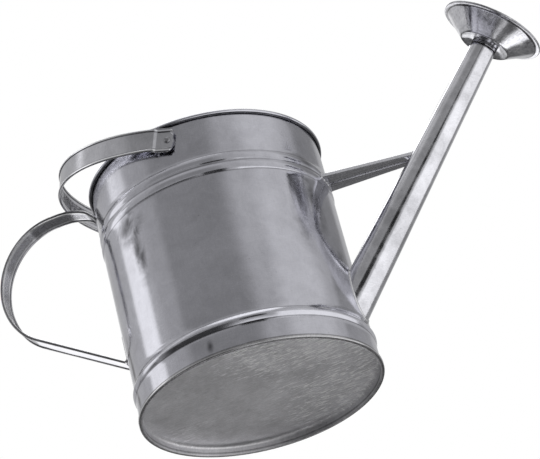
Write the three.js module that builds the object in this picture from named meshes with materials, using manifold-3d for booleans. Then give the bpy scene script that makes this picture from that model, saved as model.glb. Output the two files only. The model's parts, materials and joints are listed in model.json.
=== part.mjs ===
// Galvanised watering can with a back handle, a swinging bail and a pull-off rose.
// Millimetres, +Z up, and the spout points to +X. Every piece is placed from the can's own axis and
// the surface it stands on. The whole is then moved along X, so that the origin lies on that surface
// under the middle of the can with its spout and handle.
import * as THREE from 'three';
import { mergeVertices } from 'three/addons/utils/BufferGeometryUtils.js';
import Module from 'manifold-3d';

const wasm = await Module();
wasm.setup();

// ---------------------------------------------------------------- sizes

const SHEET = 0.7; // thickness of the galvanised sheet
const CLEARANCE = 0.3; // gap between two pieces that touch

// Can body
const CAN_HEIGHT = 246;
const WALL_RADIUS = 112.9; // outside of the plain wall
const NECK_STEP = 0.7; // the wall above the upper beads is this much smaller
const FOOT_STEP = 1.0; // the wall below the lower bead is this much larger
const RIM_WIRE_RADIUS = 1.1;
const RIM_INSET = 0.5; // the curl stands this far inside the neck
const BEAD_WIDTH = 9.2; // height of each of the two upper beads
const BEAD_PROUD = 0.9;
const BEAD_GAP = 1.9; // flat groove between the upper beads
const BEAD_DROP = 45.3; // from the top of the rim to the top of the upper beads
const FOOT_BEAD_BOTTOM = 23.5;
const FOOT_BEAD_WIDTH = 10;
const FOOT_BEAD_PROUD = 2;
const PAN_RECESS = 10; // the bottom stands this far above the ground
const PAN_FILLET = 3.5;
const FOOT_FOLD_RADIUS = 1.1; // of the fold that the can stands on
const FOOT_HEM_PROUD = 1.8; // the hem that hooks round the foot of the wall
const FOOT_HEM_HEIGHT = 3.2;

// Spout
const SPOUT_HEIGHT = 67.3; // where its axis meets the wall
const SPOUT_ANGLE = 47.95; // degrees above the ground
const SPOUT_LENGTH = 268.3; // from the wall to its open end
const SPOUT_BASE_RADIUS = 18.2;
const SPOUT_TIP_RADIUS = 12.5;
const SPOUT_LAP = 5; // width of the lapped seam along its top
const SOLDER_WIDTH = 1.3;
const SOLDER_HEIGHT = 1;

// Rose
const ROSE_RADIUS = 50;
const ROSE_GAP = 0.9; // the dark line between the spout and the rose
const ROSE_SLEEVE = 20; // length of the sleeve that pushes into the spout
const ROSE_NECK_STEP = 0.3; // the neck is this much wider than the end of the spout
const ROSE_NECK = 3.3; // the neck stands out of the back of the rose by this much
const ROSE_PLATE_RADIUS = 24.6; // small end of the funnel, closed by the plate round the neck
const ROSE_DISH = 4.1; // that plate is pressed in by this much
const ROSE_FUNNEL_DEPTH = 16.6;
const ROSE_FLANGE = 3.4; // flat band round the funnel, up to the rolled rim
const ROSE_ROLL = 1.15; // half the thickness of the rolled rim
const ROSE_ROLL_CUT = 0.6; // cut off the corners of the rolled rim
const ROSE_LIP = 2.8; // how far the rim folds over the face
const ROSE_DOME = 4.5; // the face bulges out by this much
const ROSE_DOME_INSET = 1.2; // flat band between the dome and the rim
const ROSE_HOLE_RADIUS = 1;
const ROSE_HOLE_PITCH = 10.4; // between the rings of holes

// Brace between the can and the spout, a strip folded to a flat tube
const BRACE_TOP = 1.9; // its top lies this far above the bottom of the highest bead
const BRACE_SLOPE = 5.1; // degrees, down to the spout
const BRACE_WIDTH = 32;
const BRACE_TIP_WIDTH = 17;
const BRACE_DEPTH = 4.7;
const BRACE_EDGE = 0.5; // rounding of the folded edges
const BRACE_SLIT = 1; // between the two edges that meet underneath
const BRACE_SPARE = 20; // added to each end before it is trimmed to the can and the spout

// Straps, both with rolled edges
const ROLL_RADIUS = 1.4;
const HEM_WIDTH = 4.2; // rolled edge hammered flat, at the ends
const HEM_RISE = 0.85;
const HEM_FOOT = 0.3; // slope from the sheet up to the flattened edge
const HEM_ROUND = 0.8; // rounding of the flattened edge's outer side
const END_SPREAD = 0.9; // a flattened end is this much wider on each side
const PRESS_LENGTH = 9; // over which a rolled edge becomes a flat one
const PRESS_SPARE = 1; // how far the flat edge runs on past the bail's flat end

// Back handle
const HANDLE_WIDTH = 23;
const HANDLE_RADIUS = 60.4; // of the handle's round back, measured level
const HANDLE_HALF_HEIGHT = 65.8; // the round back is a little tall
const HANDLE_REACH = 50.9; // from the wall to the centre of the round back
const HANDLE_LEAN = 0.058; // the round back leans in by this much of its height
const HANDLE_DROP = 52.9; // from the rim to that centre
const HANDLE_FOOT = 83.8; // height of the lower fold
const HANDLE_TAB = 27; // length of each tab on the wall
const HANDLE_FOLD = 3;
const HANDLE_TAB_TOP = 14; // the upper tab leaves the wall this far under the rim
const HANDLE_RIVET_PITCH = 13;
const HANDLE_RIVET_LIFT = 1; // keeps the lowest rivet off the fold
const HANDLE_LEAVE_OUT = 0.9; // the strap has left the wall by this much
const HANDLE_LEAVE_UP = 5; // at this height above its upper tab
const HANDLE_RIM_GAP = 0.8; // between the strap and the rim, besides the clearance
const HANDLE_NECK_OUT = 9; // the strap is this far past the rim
const HANDLE_NECK_UP = 6; // at this height above it
const HANDLE_SHOULDER_OUT = 26; // and this far past the rim
const HANDLE_SHOULDER_DROP = 0.8; // where it is this far under its own top
const TAB_CORNER = 5; // cut off the corners of the tabs

// Bail
const BAIL_WIDTH = 23;
const BAIL_FLARE = 5.5; // degrees: the arch's upper edge leans out
const FLARE_LENGTH = 40; // over which it comes to lean
const BAIL_OVER_HANDLE = 3.6; // the bail stops this far above the handle
const BAIL_REACH = 149.5;
const BAIL_HALF_SPAN = 118.6;
const BAIL_PIVOT_DROP = 19.6; // from the rim to the pivot
const BAIL_TAB = 9.6; // flat end, from the pivot to the joggle
const BAIL_TOE = 5.8; // flat end, past the pivot
const BAIL_CORNER = 3.4; // cut off the corners of the flat ends
const BAIL_JOGGLE = 4.4;
const BAIL_STAND_OFF = 3.4; // from the wall to the flat end
const WASHER_RADIUS = 6;
const BURR_RADIUS = 5;
const BURR_THICKNESS = 1;

// Rivets
const RIVET_SHANK = 1.9;
const RIVET_HEAD = 3.2;
const RIVET_RISE = 1.5;
const RIVET_TAIL = 0.9; // thickness of the closed end
const RIVET_TAIL_STEP = 0.4; // the closed end is this much smaller than the head
const RIVET_TAIL_CUT = 0.5; // cut off its corner
const PIN_LENGTH = 12; // of the cutter for a rivet hole

// Facets
const AROUND_CAN = 44;
const AROUND_SPOUT = 28;
const AROUND_ROSE = 32;
const AROUND_RIVET = 8;
const AROUND_WASHER = 16;
const ALONG_NECK = 12; // from the handle's upper tab to its top
const ALONG_ROUND = 18;
const ALONG_FOLD = 5;
const ALONG_BAIL = 36;

// ---------------------------------------------------------------- derived sizes

const half = SHEET / 2;
const neckRadius = WALL_RADIUS - NECK_STEP;
const footRadius = WALL_RADIUS + FOOT_STEP;
const curlRadius = RIM_WIRE_RADIUS + CLEARANCE + SHEET;
const curlCentre = new THREE.Vector2(neckRadius - SHEET + curlRadius - RIM_INSET, CAN_HEIGHT - curlRadius);
const beadTop = CAN_HEIGHT - BEAD_DROP;
const upperBeadBottom = beadTop - BEAD_WIDTH;
const lowerBeadTop = upperBeadBottom - BEAD_GAP;
const spoutTilt = THREE.MathUtils.degToRad(90 - SPOUT_ANGLE);
const spoutTaper = (SPOUT_BASE_RADIUS - SPOUT_TIP_RADIUS) / SPOUT_LENGTH;
const pivotHeight = CAN_HEIGHT - BAIL_PIVOT_DROP;
const tabFace = neckRadius + BAIL_STAND_OFF; // inner face of the bail's flat ends

// ---------------------------------------------------------------- helpers

const steel = (colour, roughness = 0.35) =>
  new THREE.MeshStandardMaterial({ color: colour, roughness, metalness: 1 });

function named(name, geometry, material) {
  const mesh = new THREE.Mesh(geometry, material);
  mesh.name = name;
  return mesh;
}

function toSolid(geometry) {
  const plain = geometry.clone();
  plain.deleteAttribute('normal');
  plain.deleteAttribute('uv');
  const merged = mergeVertices(plain, 1e-4);
  return new wasm.Manifold(new wasm.Mesh({
    numProp: 3,
    vertProperties: new Float32Array(merged.attributes.position.array),
    triVerts: new Uint32Array(merged.index.array),
  }));
}

function toGeometry(solid) {
  const mesh = solid.getMesh();
  const geometry = new THREE.BufferGeometry();
  geometry.setAttribute('position', new THREE.BufferAttribute(mesh.vertProperties, 3));
  geometry.setIndex(new THREE.BufferAttribute(mesh.triVerts, 1));
  return geometry;
}

const cut = (solid, cutters) => cutters.reduce((rest, cutter) => rest.subtract(cutter), solid);

// Points [x, y] on an arc, with its angles in degrees.
const arc = (x, y, radius, from, to, steps) => Array.from({ length: steps + 1 }, (_, i) => {
  const angle = THREE.MathUtils.degToRad(THREE.MathUtils.lerp(from, to, i / steps));
  return [x + radius * Math.cos(angle), y + radius * Math.sin(angle)];
});

// Turn a [radius, height] outline about Z. The outline is closed, or starts and ends on the axis.
function turned(outline, segments) {
  const points = outline.map(([radius, height]) => new THREE.Vector2(radius, height));
  const onAxis = points[0].x === 0;
  if (THREE.ShapeUtils.area(points) < 0) points.reverse();
  if (!onAxis) points.push(points[0].clone());
  const geometry = new THREE.LatheGeometry(points, segments);
  geometry.rotateX(Math.PI / 2);
  return geometry;
}

// Skin a row of sections. Each section has an outline (x along normal, y along across) and a frame.
function skinned(sections) {
  const count = sections[0].outline.length;
  const positions = [];
  for (const { outline, origin, normal, across } of sections) {
    for (const point of outline) {
      const corner = origin.clone().addScaledVector(normal, point.x).addScaledVector(across, point.y);
      positions.push(corner.x, corner.y, corner.z);
    }
  }
  const index = [];
  for (let ring = 0; ring < (sections.length - 1) * count; ring += count) {
    for (let i = 0; i < count; i++) {
      const a = ring + i;
      const b = ring + ((i + 1) % count);
      index.push(a, b, a + count, b, b + count, a + count);
    }
  }
  const last = (sections.length - 1) * count;
  for (const [a, b, c] of THREE.ShapeUtils.triangulateShape(sections[0].outline, [])) index.push(c, b, a);
  for (const [a, b, c] of THREE.ShapeUtils.triangulateShape(sections.at(-1).outline, [])) {
    index.push(last + a, last + b, last + c);
  }
  const geometry = new THREE.BufferGeometry();
  geometry.setAttribute('position', new THREE.Float32BufferAttribute(positions, 3));
  geometry.setIndex(index);
  return geometry;
}

// A round pin along +X or +Y, used for rivet holes.
function pin(radius, length, position, alongY) {
  const geometry = new THREE.CylinderGeometry(radius, radius, length, AROUND_RIVET);
  if (!alongY) geometry.rotateZ(Math.PI / 2);
  geometry.translate(position.x, position.y, position.z);
  return toSolid(geometry);
}

// ---------------------------------------------------------------- can body

// Points of one rolled bead, from base radius `from` to `to`, without its end points.
function bead(bottom, width, proud, from, to, steps) {
  return Array.from({ length: steps - 1 }, (_, i) => {
    const share = (i + 1) / steps;
    const radius = THREE.MathUtils.lerp(from, to, share) + proud * Math.sin(Math.PI * share);
    return [radius, bottom + width * share];
  });
}

// The outer face of the wall from `bottom` up to the rim's curl, moved out by `offset`.
function wallFace(bottom, top, offset = 0) {
  const lowerBottom = lowerBeadTop - BEAD_WIDTH;
  const footTop = FOOT_BEAD_BOTTOM + FOOT_BEAD_WIDTH;
  const face = [
    [footRadius, bottom],
    [footRadius, FOOT_BEAD_BOTTOM],
    ...bead(FOOT_BEAD_BOTTOM, FOOT_BEAD_WIDTH, FOOT_BEAD_PROUD, footRadius, WALL_RADIUS, 5),
    [WALL_RADIUS, footTop],
    [WALL_RADIUS, lowerBottom],
    ...bead(lowerBottom, BEAD_WIDTH, BEAD_PROUD, WALL_RADIUS, WALL_RADIUS, 4),
    [WALL_RADIUS, lowerBeadTop],
    [WALL_RADIUS, upperBeadBottom],
    ...bead(upperBeadBottom, BEAD_WIDTH, BEAD_PROUD, WALL_RADIUS, neckRadius, 4),
    [neckRadius, beadTop],
    [neckRadius, top],
  ];
  return face.map(([radius, height]) => [radius + offset, height]);
}

// Everything inside the wall's outer face, used to trim what is soldered to the can.
const canEnvelope = (offset) =>
  turned([[0, 0], ...wallFace(0, CAN_HEIGHT, offset), [0, CAN_HEIGHT]], AROUND_CAN);

// The rim: the sheet curls outwards over the wire and stops under it.
const curl = (radius) => arc(curlCentre.x, curlCentre.y, radius, 180, -100, 5);

function bodyWall() {
  const bottom = SHEET + CLEARANCE;
  const top = CAN_HEIGHT - 2.5 * curlRadius;
  const outer = wallFace(bottom, top);
  const inner = wallFace(bottom, top, -SHEET).reverse();
  const outline = [...outer, ...curl(curlRadius - SHEET), ...curl(curlRadius).reverse(), ...inner];
  const past = 2 * SPOUT_BASE_RADIUS;
  const spoutBore = new THREE.CylinderGeometry(boreRadius(0), boreRadius(0), 2 * past, AROUND_SPOUT);
  spoutBore.rotateX(Math.PI / 2);
  spoutBore.applyMatrix4(spoutFrame);
  const holes = [toSolid(spoutBore)];
  for (const side of [-1, 1]) {
    const place = new THREE.Vector3(0, side * neckRadius, pivotHeight);
    holes.push(pin(RIVET_SHANK + CLEARANCE, PIN_LENGTH, place, true));
  }
  for (const height of handleRivetHeights()) {
    const place = new THREE.Vector3(-WALL_RADIUS, 0, height);
    holes.push(pin(RIVET_SHANK + CLEARANCE, PIN_LENGTH, place, false));
  }
  return toGeometry(cut(toSolid(turned(outline, AROUND_CAN)), holes));
}

function rimWire() {
  return turned(arc(curlCentre.x, curlCentre.y, RIM_WIRE_RADIUS, 0, 288, 4), AROUND_CAN);
}

// The bottom: a dished pan whose skirt goes down inside the wall, under it and up outside.
function bottomPan() {
  const skirtOut = footRadius - SHEET - CLEARANCE;
  const skirtIn = skirtOut - SHEET;
  const hemOut = footRadius + FOOT_HEM_PROUD;
  const hemIn = hemOut - SHEET;
  const fold = FOOT_FOLD_RADIUS;
  const fillet = (radius) => arc(skirtIn - PAN_FILLET, PAN_RECESS - PAN_FILLET, radius, 90, 0, 3);
  return turned([
    [0, PAN_RECESS],
    ...fillet(PAN_FILLET),
    ...arc(skirtIn + fold, fold, fold, 180, 270, 2),
    ...arc(hemOut - fold, fold, fold, 270, 360, 2),
    [hemOut, FOOT_HEM_HEIGHT - SHEET],
    [hemIn, FOOT_HEM_HEIGHT],
    [footRadius + CLEARANCE, FOOT_HEM_HEIGHT - SHEET / 2],
    [hemIn, fold],
    [skirtOut, SHEET],
    ...fillet(PAN_FILLET + SHEET).reverse(),
    [0, PAN_RECESS + SHEET],
  ], AROUND_CAN);
}

// ---------------------------------------------------------------- spout

const spoutFrame = new THREE.Matrix4()
  .makeTranslation(WALL_RADIUS, 0, SPOUT_HEIGHT)
  .multiply(new THREE.Matrix4().makeRotationY(spoutTilt));

// A world solid, seen from the spout's frame, whose +Z runs along the spout.
const inSpoutFrame = (geometry) => toSolid(geometry.applyMatrix4(spoutFrame.clone().invert()));

function spoutRadius(length) {
  return SPOUT_BASE_RADIUS - spoutTaper * length;
}

function boreRadius(length) {
  return spoutRadius(length) - SHEET;
}

// One ring of the rolled sheet: its edge laps over itself on the upper side of the spout.
function spoutRing(length, offset, lapped) {
  const outline = Array.from({ length: AROUND_SPOUT }, (_, i) => {
    const angle = Math.PI + (i / AROUND_SPOUT) * 2 * Math.PI;
    const along = Math.abs(angle - Math.PI) * spoutRadius(length);
    const lap = lapped && along < SPOUT_LAP ? SHEET : 0;
    const radius = spoutRadius(length) + offset + lap;
    return new THREE.Vector2(radius * Math.cos(angle), radius * Math.sin(angle));
  });
  return {
    outline,
    origin: new THREE.Vector3(0, 0, length),
    normal: new THREE.Vector3(1, 0, 0),
    across: new THREE.Vector3(0, 1, 0),
  };
}

function spoutSolid(from, to, offset, lapped = false) {
  return toSolid(skinned([spoutRing(from, offset, lapped), spoutRing(to, offset, lapped)]));
}

function spoutTube() {
  const start = -2 * SPOUT_BASE_RADIUS;
  const outside = spoutSolid(start, SPOUT_LENGTH, 0, true);
  const bore = spoutSolid(start - 1, SPOUT_LENGTH + 1, -SHEET);
  return toGeometry(cut(outside, [bore, inSpoutFrame(canEnvelope(CLEARANCE))]));
}

// The fillet of solder round the foot of the spout.
function spoutSolder() {
  const start = -2 * SPOUT_BASE_RADIUS;
  const end = 3 * SPOUT_BASE_RADIUS;
  const skin = inSpoutFrame(canEnvelope(CLEARANCE + SOLDER_HEIGHT));
  const ring = spoutSolid(start, end, SHEET + CLEARANCE + SOLDER_WIDTH).intersect(skin);
  const tube = spoutSolid(start - 1, end + 1, CLEARANCE, true);
  return toGeometry(cut(ring, [tube, inSpoutFrame(canEnvelope(CLEARANCE))]));
}

// ---------------------------------------------------------------- rose
// Heights are measured from the plane of the rolled rim, minus towards the spout.

const roseNeckRadius = SPOUT_TIP_RADIUS + ROSE_NECK_STEP;
const rosePlateHeight = -ROSE_FUNNEL_DEPTH - ROSE_ROLL;
const roseDepth = ROSE_NECK - rosePlateHeight;

// The sleeve that goes into the spout, the neck, and the dished plate round it, in one piece.
function roseFerrule() {
  const sleeveOut = boreRadius(SPOUT_LENGTH) - CLEARANCE;
  const sleeveIn = sleeveOut - SHEET;
  const end = -roseDepth - ROSE_GAP - ROSE_SLEEVE;
  const plateRadius = ROSE_PLATE_RADIUS - CLEARANCE;
  const plateThickness = SHEET * Math.hypot(1, ROSE_DISH / (plateRadius - roseNeckRadius));
  const dish = rosePlateHeight + ROSE_DISH;
  return turned([
    [sleeveIn, end],
    [sleeveOut, end],
    [sleeveOut, -roseDepth],
    [roseNeckRadius, -roseDepth],
    [roseNeckRadius, dish],
    [plateRadius, rosePlateHeight],
    [plateRadius, rosePlateHeight + plateThickness],
    [roseNeckRadius, dish + plateThickness],
    [sleeveIn, dish + plateThickness],
  ], AROUND_ROSE);
}

function roseFunnel() {
  const coneOut = ROSE_RADIUS - ROSE_FLANGE;
  const slope = ROSE_FUNNEL_DEPTH / (coneOut - ROSE_PLATE_RADIUS);
  const thickness = SHEET * Math.hypot(1, slope);
  const leaf = ROSE_ROLL - SHEET;
  const inner = ROSE_RADIUS - SHEET;
  return turned([
    [ROSE_PLATE_RADIUS, rosePlateHeight],
    [coneOut, -ROSE_ROLL],
    [ROSE_RADIUS - ROSE_ROLL_CUT, -ROSE_ROLL],
    [ROSE_RADIUS, -ROSE_ROLL_CUT],
    [ROSE_RADIUS, ROSE_ROLL_CUT],
    [ROSE_RADIUS - ROSE_ROLL_CUT, ROSE_ROLL],
    [ROSE_RADIUS - ROSE_LIP, ROSE_ROLL],
    [ROSE_RADIUS - ROSE_LIP, leaf],
    [inner - leaf / 2, leaf],
    [inner, leaf / 2],
    [inner, -leaf / 2],
    [inner - leaf / 2, -leaf],
    [coneOut, -leaf],
    [ROSE_PLATE_RADIUS, rosePlateHeight + thickness],
  ], AROUND_ROSE);
}

// The perforated face: a shallow dome with a flat edge held in the rolled rim.
function roseFace() {
  const edge = ROSE_RADIUS - SHEET - (ROSE_ROLL - SHEET) / 2 - CLEARANCE;
  const domeEdge = ROSE_RADIUS - ROSE_LIP - ROSE_DOME_INSET;
  const rise = (radius) => ROSE_DOME * (1 - (radius / domeEdge) ** 2);
  const dome = [0, 0.25, 0.5, 0.75, 1].map((share) => share * domeEdge);
  const outline = [
    ...dome.map((radius) => [radius, rise(radius) - half]),
    [edge, -half],
    [edge, half],
    ...dome.map((radius) => [radius, rise(radius) + half]).reverse(),
  ];
  const holes = [];
  for (let ring = 0; ring * ROSE_HOLE_PITCH + 2 * ROSE_HOLE_RADIUS < domeEdge; ring++) {
    const count = ring === 0 ? 1 : 6 * ring;
    for (let i = 0; i < count; i++) {
      const hole = new THREE.CylinderGeometry(ROSE_HOLE_RADIUS, ROSE_HOLE_RADIUS, 3 * ROSE_DOME, 5);
      hole.rotateX(Math.PI / 2);
      hole.translate(ring * ROSE_HOLE_PITCH, 0, 0);
      hole.rotateZ((i / count) * 2 * Math.PI + ring * 0.3);
      holes.push(toSolid(hole));
    }
  }
  return toGeometry(cut(toSolid(turned(outline, AROUND_ROSE)), holes));
}

// ---------------------------------------------------------------- brace

const braceStart = new THREE.Vector2(WALL_RADIUS, upperBeadBottom + BRACE_TOP);
const braceFall = Math.tan(THREE.MathUtils.degToRad(BRACE_SLOPE));

// Where the brace's top meets the upper side of the spout.
function braceEnd() {
  const along = new THREE.Vector2(Math.sin(spoutTilt), Math.cos(spoutTilt));
  const out = new THREE.Vector2(-along.y, along.x);
  const foot = new THREE.Vector2(WALL_RADIUS, SPOUT_HEIGHT).addScaledVector(out, SPOUT_BASE_RADIUS);
  const edge = along.clone().addScaledVector(out, -spoutTaper);
  const gap = braceStart.y - foot.y - braceFall * (foot.x - braceStart.x);
  return foot.addScaledVector(edge, gap / (edge.y + braceFall * edge.x));
}

// The folded strip, grown by `offset` on every side; hollow and slit when it is the real strip.
function braceOutline(width, offset) {
  const wide = width / 2 + offset;
  const top = offset;
  const bottom = -BRACE_DEPTH - offset;
  if (offset > 0) {
    return [[top, -wide], [top, wide], [bottom, wide], [bottom, -wide]]
      .map(([x, y]) => new THREE.Vector2(x, y));
  }
  const slit = BRACE_SLIT / 2;
  const inside = wide - SHEET;
  const right = [
    [-BRACE_DEPTH, slit],
    [-BRACE_DEPTH, wide - BRACE_EDGE],
    [-BRACE_DEPTH + BRACE_EDGE, wide],
    [-BRACE_EDGE, wide],
    [0, wide - BRACE_EDGE],
  ];
  const rightInside = [
    [SHEET - BRACE_DEPTH, slit],
    [SHEET - BRACE_DEPTH, inside],
    [-SHEET, inside],
  ];
  const mirror = (points) => points.map(([x, y]) => [x, -y]).reverse();
  return [...right, ...mirror(right), ...mirror(rightInside).reverse(), ...rightInside.slice().reverse()]
    .map(([x, y]) => new THREE.Vector2(x, y));
}

function braceSolid(offset) {
  const end = braceEnd();
  const length = end.x - braceStart.x;
  const at = (distance) => {
    const share = distance / length;
    const outline = braceOutline(THREE.MathUtils.lerp(BRACE_WIDTH, BRACE_TIP_WIDTH, share), offset);
    if (THREE.ShapeUtils.area(outline) < 0) outline.reverse();
    return {
      outline,
      origin: new THREE.Vector3(braceStart.x + distance, 0, braceStart.y - braceFall * distance),
      normal: new THREE.Vector3(0, 0, 1),
      across: new THREE.Vector3(0, -1, 0),
    };
  };
  return toSolid(skinned([at(-BRACE_SPARE), at(length + BRACE_SPARE)]));
}

function spoutEnvelope(offset) {
  const rings = [-2 * SPOUT_BASE_RADIUS, SPOUT_LENGTH].map((length) => spoutRing(length, offset, true));
  return skinned(rings).applyMatrix4(spoutFrame);
}

// Everything past the spout's middle, which the brace never reaches.
function beyondSpout() {
  const size = 2 * SPOUT_LENGTH;
  const block = new THREE.BoxGeometry(size, size, size);
  block.translate(size / 2, 0, SPOUT_LENGTH / 2);
  return toSolid(block.applyMatrix4(spoutFrame));
}

function brace() {
  const cutters = [canEnvelope(CLEARANCE), spoutEnvelope(CLEARANCE)].map(toSolid);
  return toGeometry(cut(braceSolid(0), [...cutters, beyondSpout()]));
}

function braceSolder(envelope, away) {
  const skin = toSolid(envelope(CLEARANCE + SOLDER_HEIGHT));
  const block = braceSolid(CLEARANCE + SOLDER_WIDTH).intersect(skin);
  const cutters = [toSolid(envelope(CLEARANCE)), braceSolid(CLEARANCE), ...away];
  return toGeometry(cut(block, cutters));
}

// ---------------------------------------------------------------- straps

// Section of a strap: x across the sheet, y along its width. `pressed` blends the rolled edges (0)
// into edges hammered flat on the side given by `side` (1).
function strapOutline(width, pressed, side) {
  const steps = 6;
  const wide = width / 2;
  const meet = Math.acos(half / ROLL_RADIUS);
  const centre = wide - ROLL_RADIUS;
  const round = Array.from({ length: steps + 1 }, (_, i) => {
    const angle = -meet + ((Math.PI + 2 * meet) * i) / steps;
    return [ROLL_RADIUS * Math.cos(angle), centre + ROLL_RADIUS * Math.sin(angle)];
  });
  const edge = wide + END_SPREAD;
  const inner = edge - HEM_WIDTH;
  const flat = [
    [half, inner - HEM_FOOT],
    [half + HEM_RISE, inner],
    [half + HEM_RISE, edge - HEM_ROUND],
    [half + HEM_RISE - HEM_ROUND / 2, edge - HEM_ROUND / 8],
    [0, edge],
    [-half, edge - HEM_ROUND / 2],
    [-half, inner - HEM_FOOT],
  ];
  const hammered = side > 0 ? flat : flat.map(([x, y]) => [-x, y]).reverse();
  const top = round.map(([x, y], i) => new THREE.Vector2(
    THREE.MathUtils.lerp(x, hammered[i][0], pressed),
    THREE.MathUtils.lerp(y, hammered[i][1], pressed),
  ));
  const bottom = top.map((point) => new THREE.Vector2(point.x, -point.y)).reverse();
  return [...top, ...bottom];
}

// Sweep a strap along a flat row of stations { point, narrow }, whose plane is spanned by `first`
// and `second`. The outer side is on the right of the direction of travel. Away from its ends the
// strap leans by `flare` degrees.
function sweptStrap(stations, width, first, second, side, flare = 0) {
  const across = new THREE.Vector3().crossVectors(first, second);
  const total = stations.reduce((sum, station, i) => {
    station.distance = i === 0 ? 0 : sum + station.point.distanceTo(stations[i - 1].point);
    return station.distance;
  }, 0);
  const sections = stations.map((station, i) => {
    const before = stations[Math.max(i - 1, 0)].point;
    const after = stations[Math.min(i + 1, stations.length - 1)].point;
    const back = station.point.clone().sub(before).normalize();
    const ahead = after.clone().sub(station.point).normalize();
    const travel = back.clone().add(ahead).normalize();
    const stretch = 1 / Math.max(Math.cos(back.angleTo(ahead) / 2), 0.5);
    const bend = i === 0 || i === stations.length - 1 ? 1 : stretch;
    const fromEnd = Math.min(station.distance, total - station.distance);
    const pressed = 1 - THREE.MathUtils.clamp((fromEnd - station.pressedFor) / PRESS_LENGTH, 0, 1);
    const outline = strapOutline(width - 2 * (station.narrow ?? 0), pressed, side);
    outline.forEach((point) => { point.x *= bend; });
    const leaning = THREE.MathUtils.clamp((fromEnd - station.pressedFor) / FLARE_LENGTH, 0, 1);
    const lean = THREE.MathUtils.degToRad(flare) * leaning;
    const out = first.clone().multiplyScalar(travel.y).addScaledVector(second, -travel.x);
    const up = across.clone().negate();
    return {
      outline,
      origin: first.clone().multiplyScalar(station.point.x).addScaledVector(second, station.point.y),
      normal: out.clone().multiplyScalar(Math.cos(lean)).addScaledVector(up, -Math.sin(lean)),
      across: up.clone().multiplyScalar(Math.cos(lean)).addScaledVector(out, Math.sin(lean)),
    };
  });
  return skinned(sections);
}

// ---------------------------------------------------------------- back handle

const handleCentre = new THREE.Vector2(-WALL_RADIUS - HANDLE_REACH, CAN_HEIGHT - HANDLE_DROP);
const upperTabX = -neckRadius - CLEARANCE - half;
const lowerTabX = -WALL_RADIUS - CLEARANCE - half;
const handleTabTop = CAN_HEIGHT - HANDLE_TAB_TOP;

function handleRivetHeights() {
  const toTab = (HANDLE_TAB - HANDLE_RIVET_PITCH) / 2;
  const upper = handleTabTop - toTab;
  const lower = HANDLE_FOOT + toTab + HANDLE_RIVET_LIFT;
  return [upper, upper - HANDLE_RIVET_PITCH, lower, lower + HANDLE_RIVET_PITCH];
}

// The handle's line in the XZ plane: up the wall, out over the rim, round the back, straight down to
// the can, and up the wall again. The round back is worked out as a circle and then made taller.
function handleStations() {
  const tall = HANDLE_HALF_HEIGHT / HANDLE_RADIUS;
  const stretched = (point) => {
    const rise = tall * (point.y - handleCentre.y);
    return new THREE.Vector2(point.x + HANDLE_LEAN * rise, handleCentre.y + rise);
  };
  const foldHeight = handleCentre.y - (handleCentre.y - HANDLE_FOOT) / tall;
  const leanAtFold = HANDLE_LEAN * (HANDLE_FOOT - handleCentre.y);
  const fold = new THREE.Vector2(lowerTabX - HANDLE_FOLD - leanAtFold, foldHeight);
  const between = fold.clone().sub(handleCentre);
  const lean = Math.acos((HANDLE_RADIUS - HANDLE_FOLD) / between.length());
  const leave = between.angle() - lean;
  const rimSide = curlCentre.x + curlRadius + CLEARANCE + ROLL_RADIUS;
  const top = handleCentre.y + HANDLE_HALF_HEIGHT;
  const outOfTab = new THREE.SplineCurve([
    new THREE.Vector2(upperTabX, handleTabTop),
    new THREE.Vector2(upperTabX - HANDLE_LEAVE_OUT, handleTabTop + HANDLE_LEAVE_UP),
    new THREE.Vector2(-rimSide - HANDLE_RIM_GAP, curlCentre.y),
    new THREE.Vector2(-rimSide - HANDLE_NECK_OUT, CAN_HEIGHT + HANDLE_NECK_UP),
    new THREE.Vector2(-rimSide - HANDLE_SHOULDER_OUT, top - HANDLE_SHOULDER_DROP),
    new THREE.Vector2(handleCentre.x + HANDLE_LEAN * HANDLE_HALF_HEIGHT, top),
  ]);
  const round = new THREE.EllipseCurve(
    handleCentre.x, handleCentre.y, HANDLE_RADIUS, HANDLE_RADIUS, Math.PI / 2, leave,
  );
  const turn = new THREE.EllipseCurve(fold.x, fold.y, HANDLE_FOLD, HANDLE_FOLD, leave, 2 * Math.PI);
  return [
    new THREE.Vector2(upperTabX, handleTabTop - HANDLE_TAB),
    new THREE.Vector2(upperTabX, handleTabTop - HANDLE_TAB + TAB_CORNER),
    ...outOfTab.getSpacedPoints(ALONG_NECK),
    ...round.getPoints(ALONG_ROUND).slice(1).map(stretched),
    ...turn.getPoints(ALONG_FOLD).map(stretched),
    new THREE.Vector2(lowerTabX, HANDLE_FOOT + HANDLE_TAB - TAB_CORNER),
    new THREE.Vector2(lowerTabX, HANDLE_FOOT + HANDLE_TAB),
  ].map((point, i, all) => ({
    point,
    narrow: i === 0 || i === all.length - 1 ? TAB_CORNER : 0,
    pressedFor: HANDLE_TAB,
  }));
}

function backHandle() {
  const x = new THREE.Vector3(1, 0, 0);
  const z = new THREE.Vector3(0, 0, 1);
  const strap = toSolid(sweptStrap(handleStations(), HANDLE_WIDTH, x, z, -1));
  const holes = handleRivetHeights().map((height) =>
    pin(RIVET_SHANK + CLEARANCE, PIN_LENGTH, new THREE.Vector3(-WALL_RADIUS, 0, height), false));
  return toGeometry(cut(strap, holes));
}

// ---------------------------------------------------------------- bail

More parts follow.
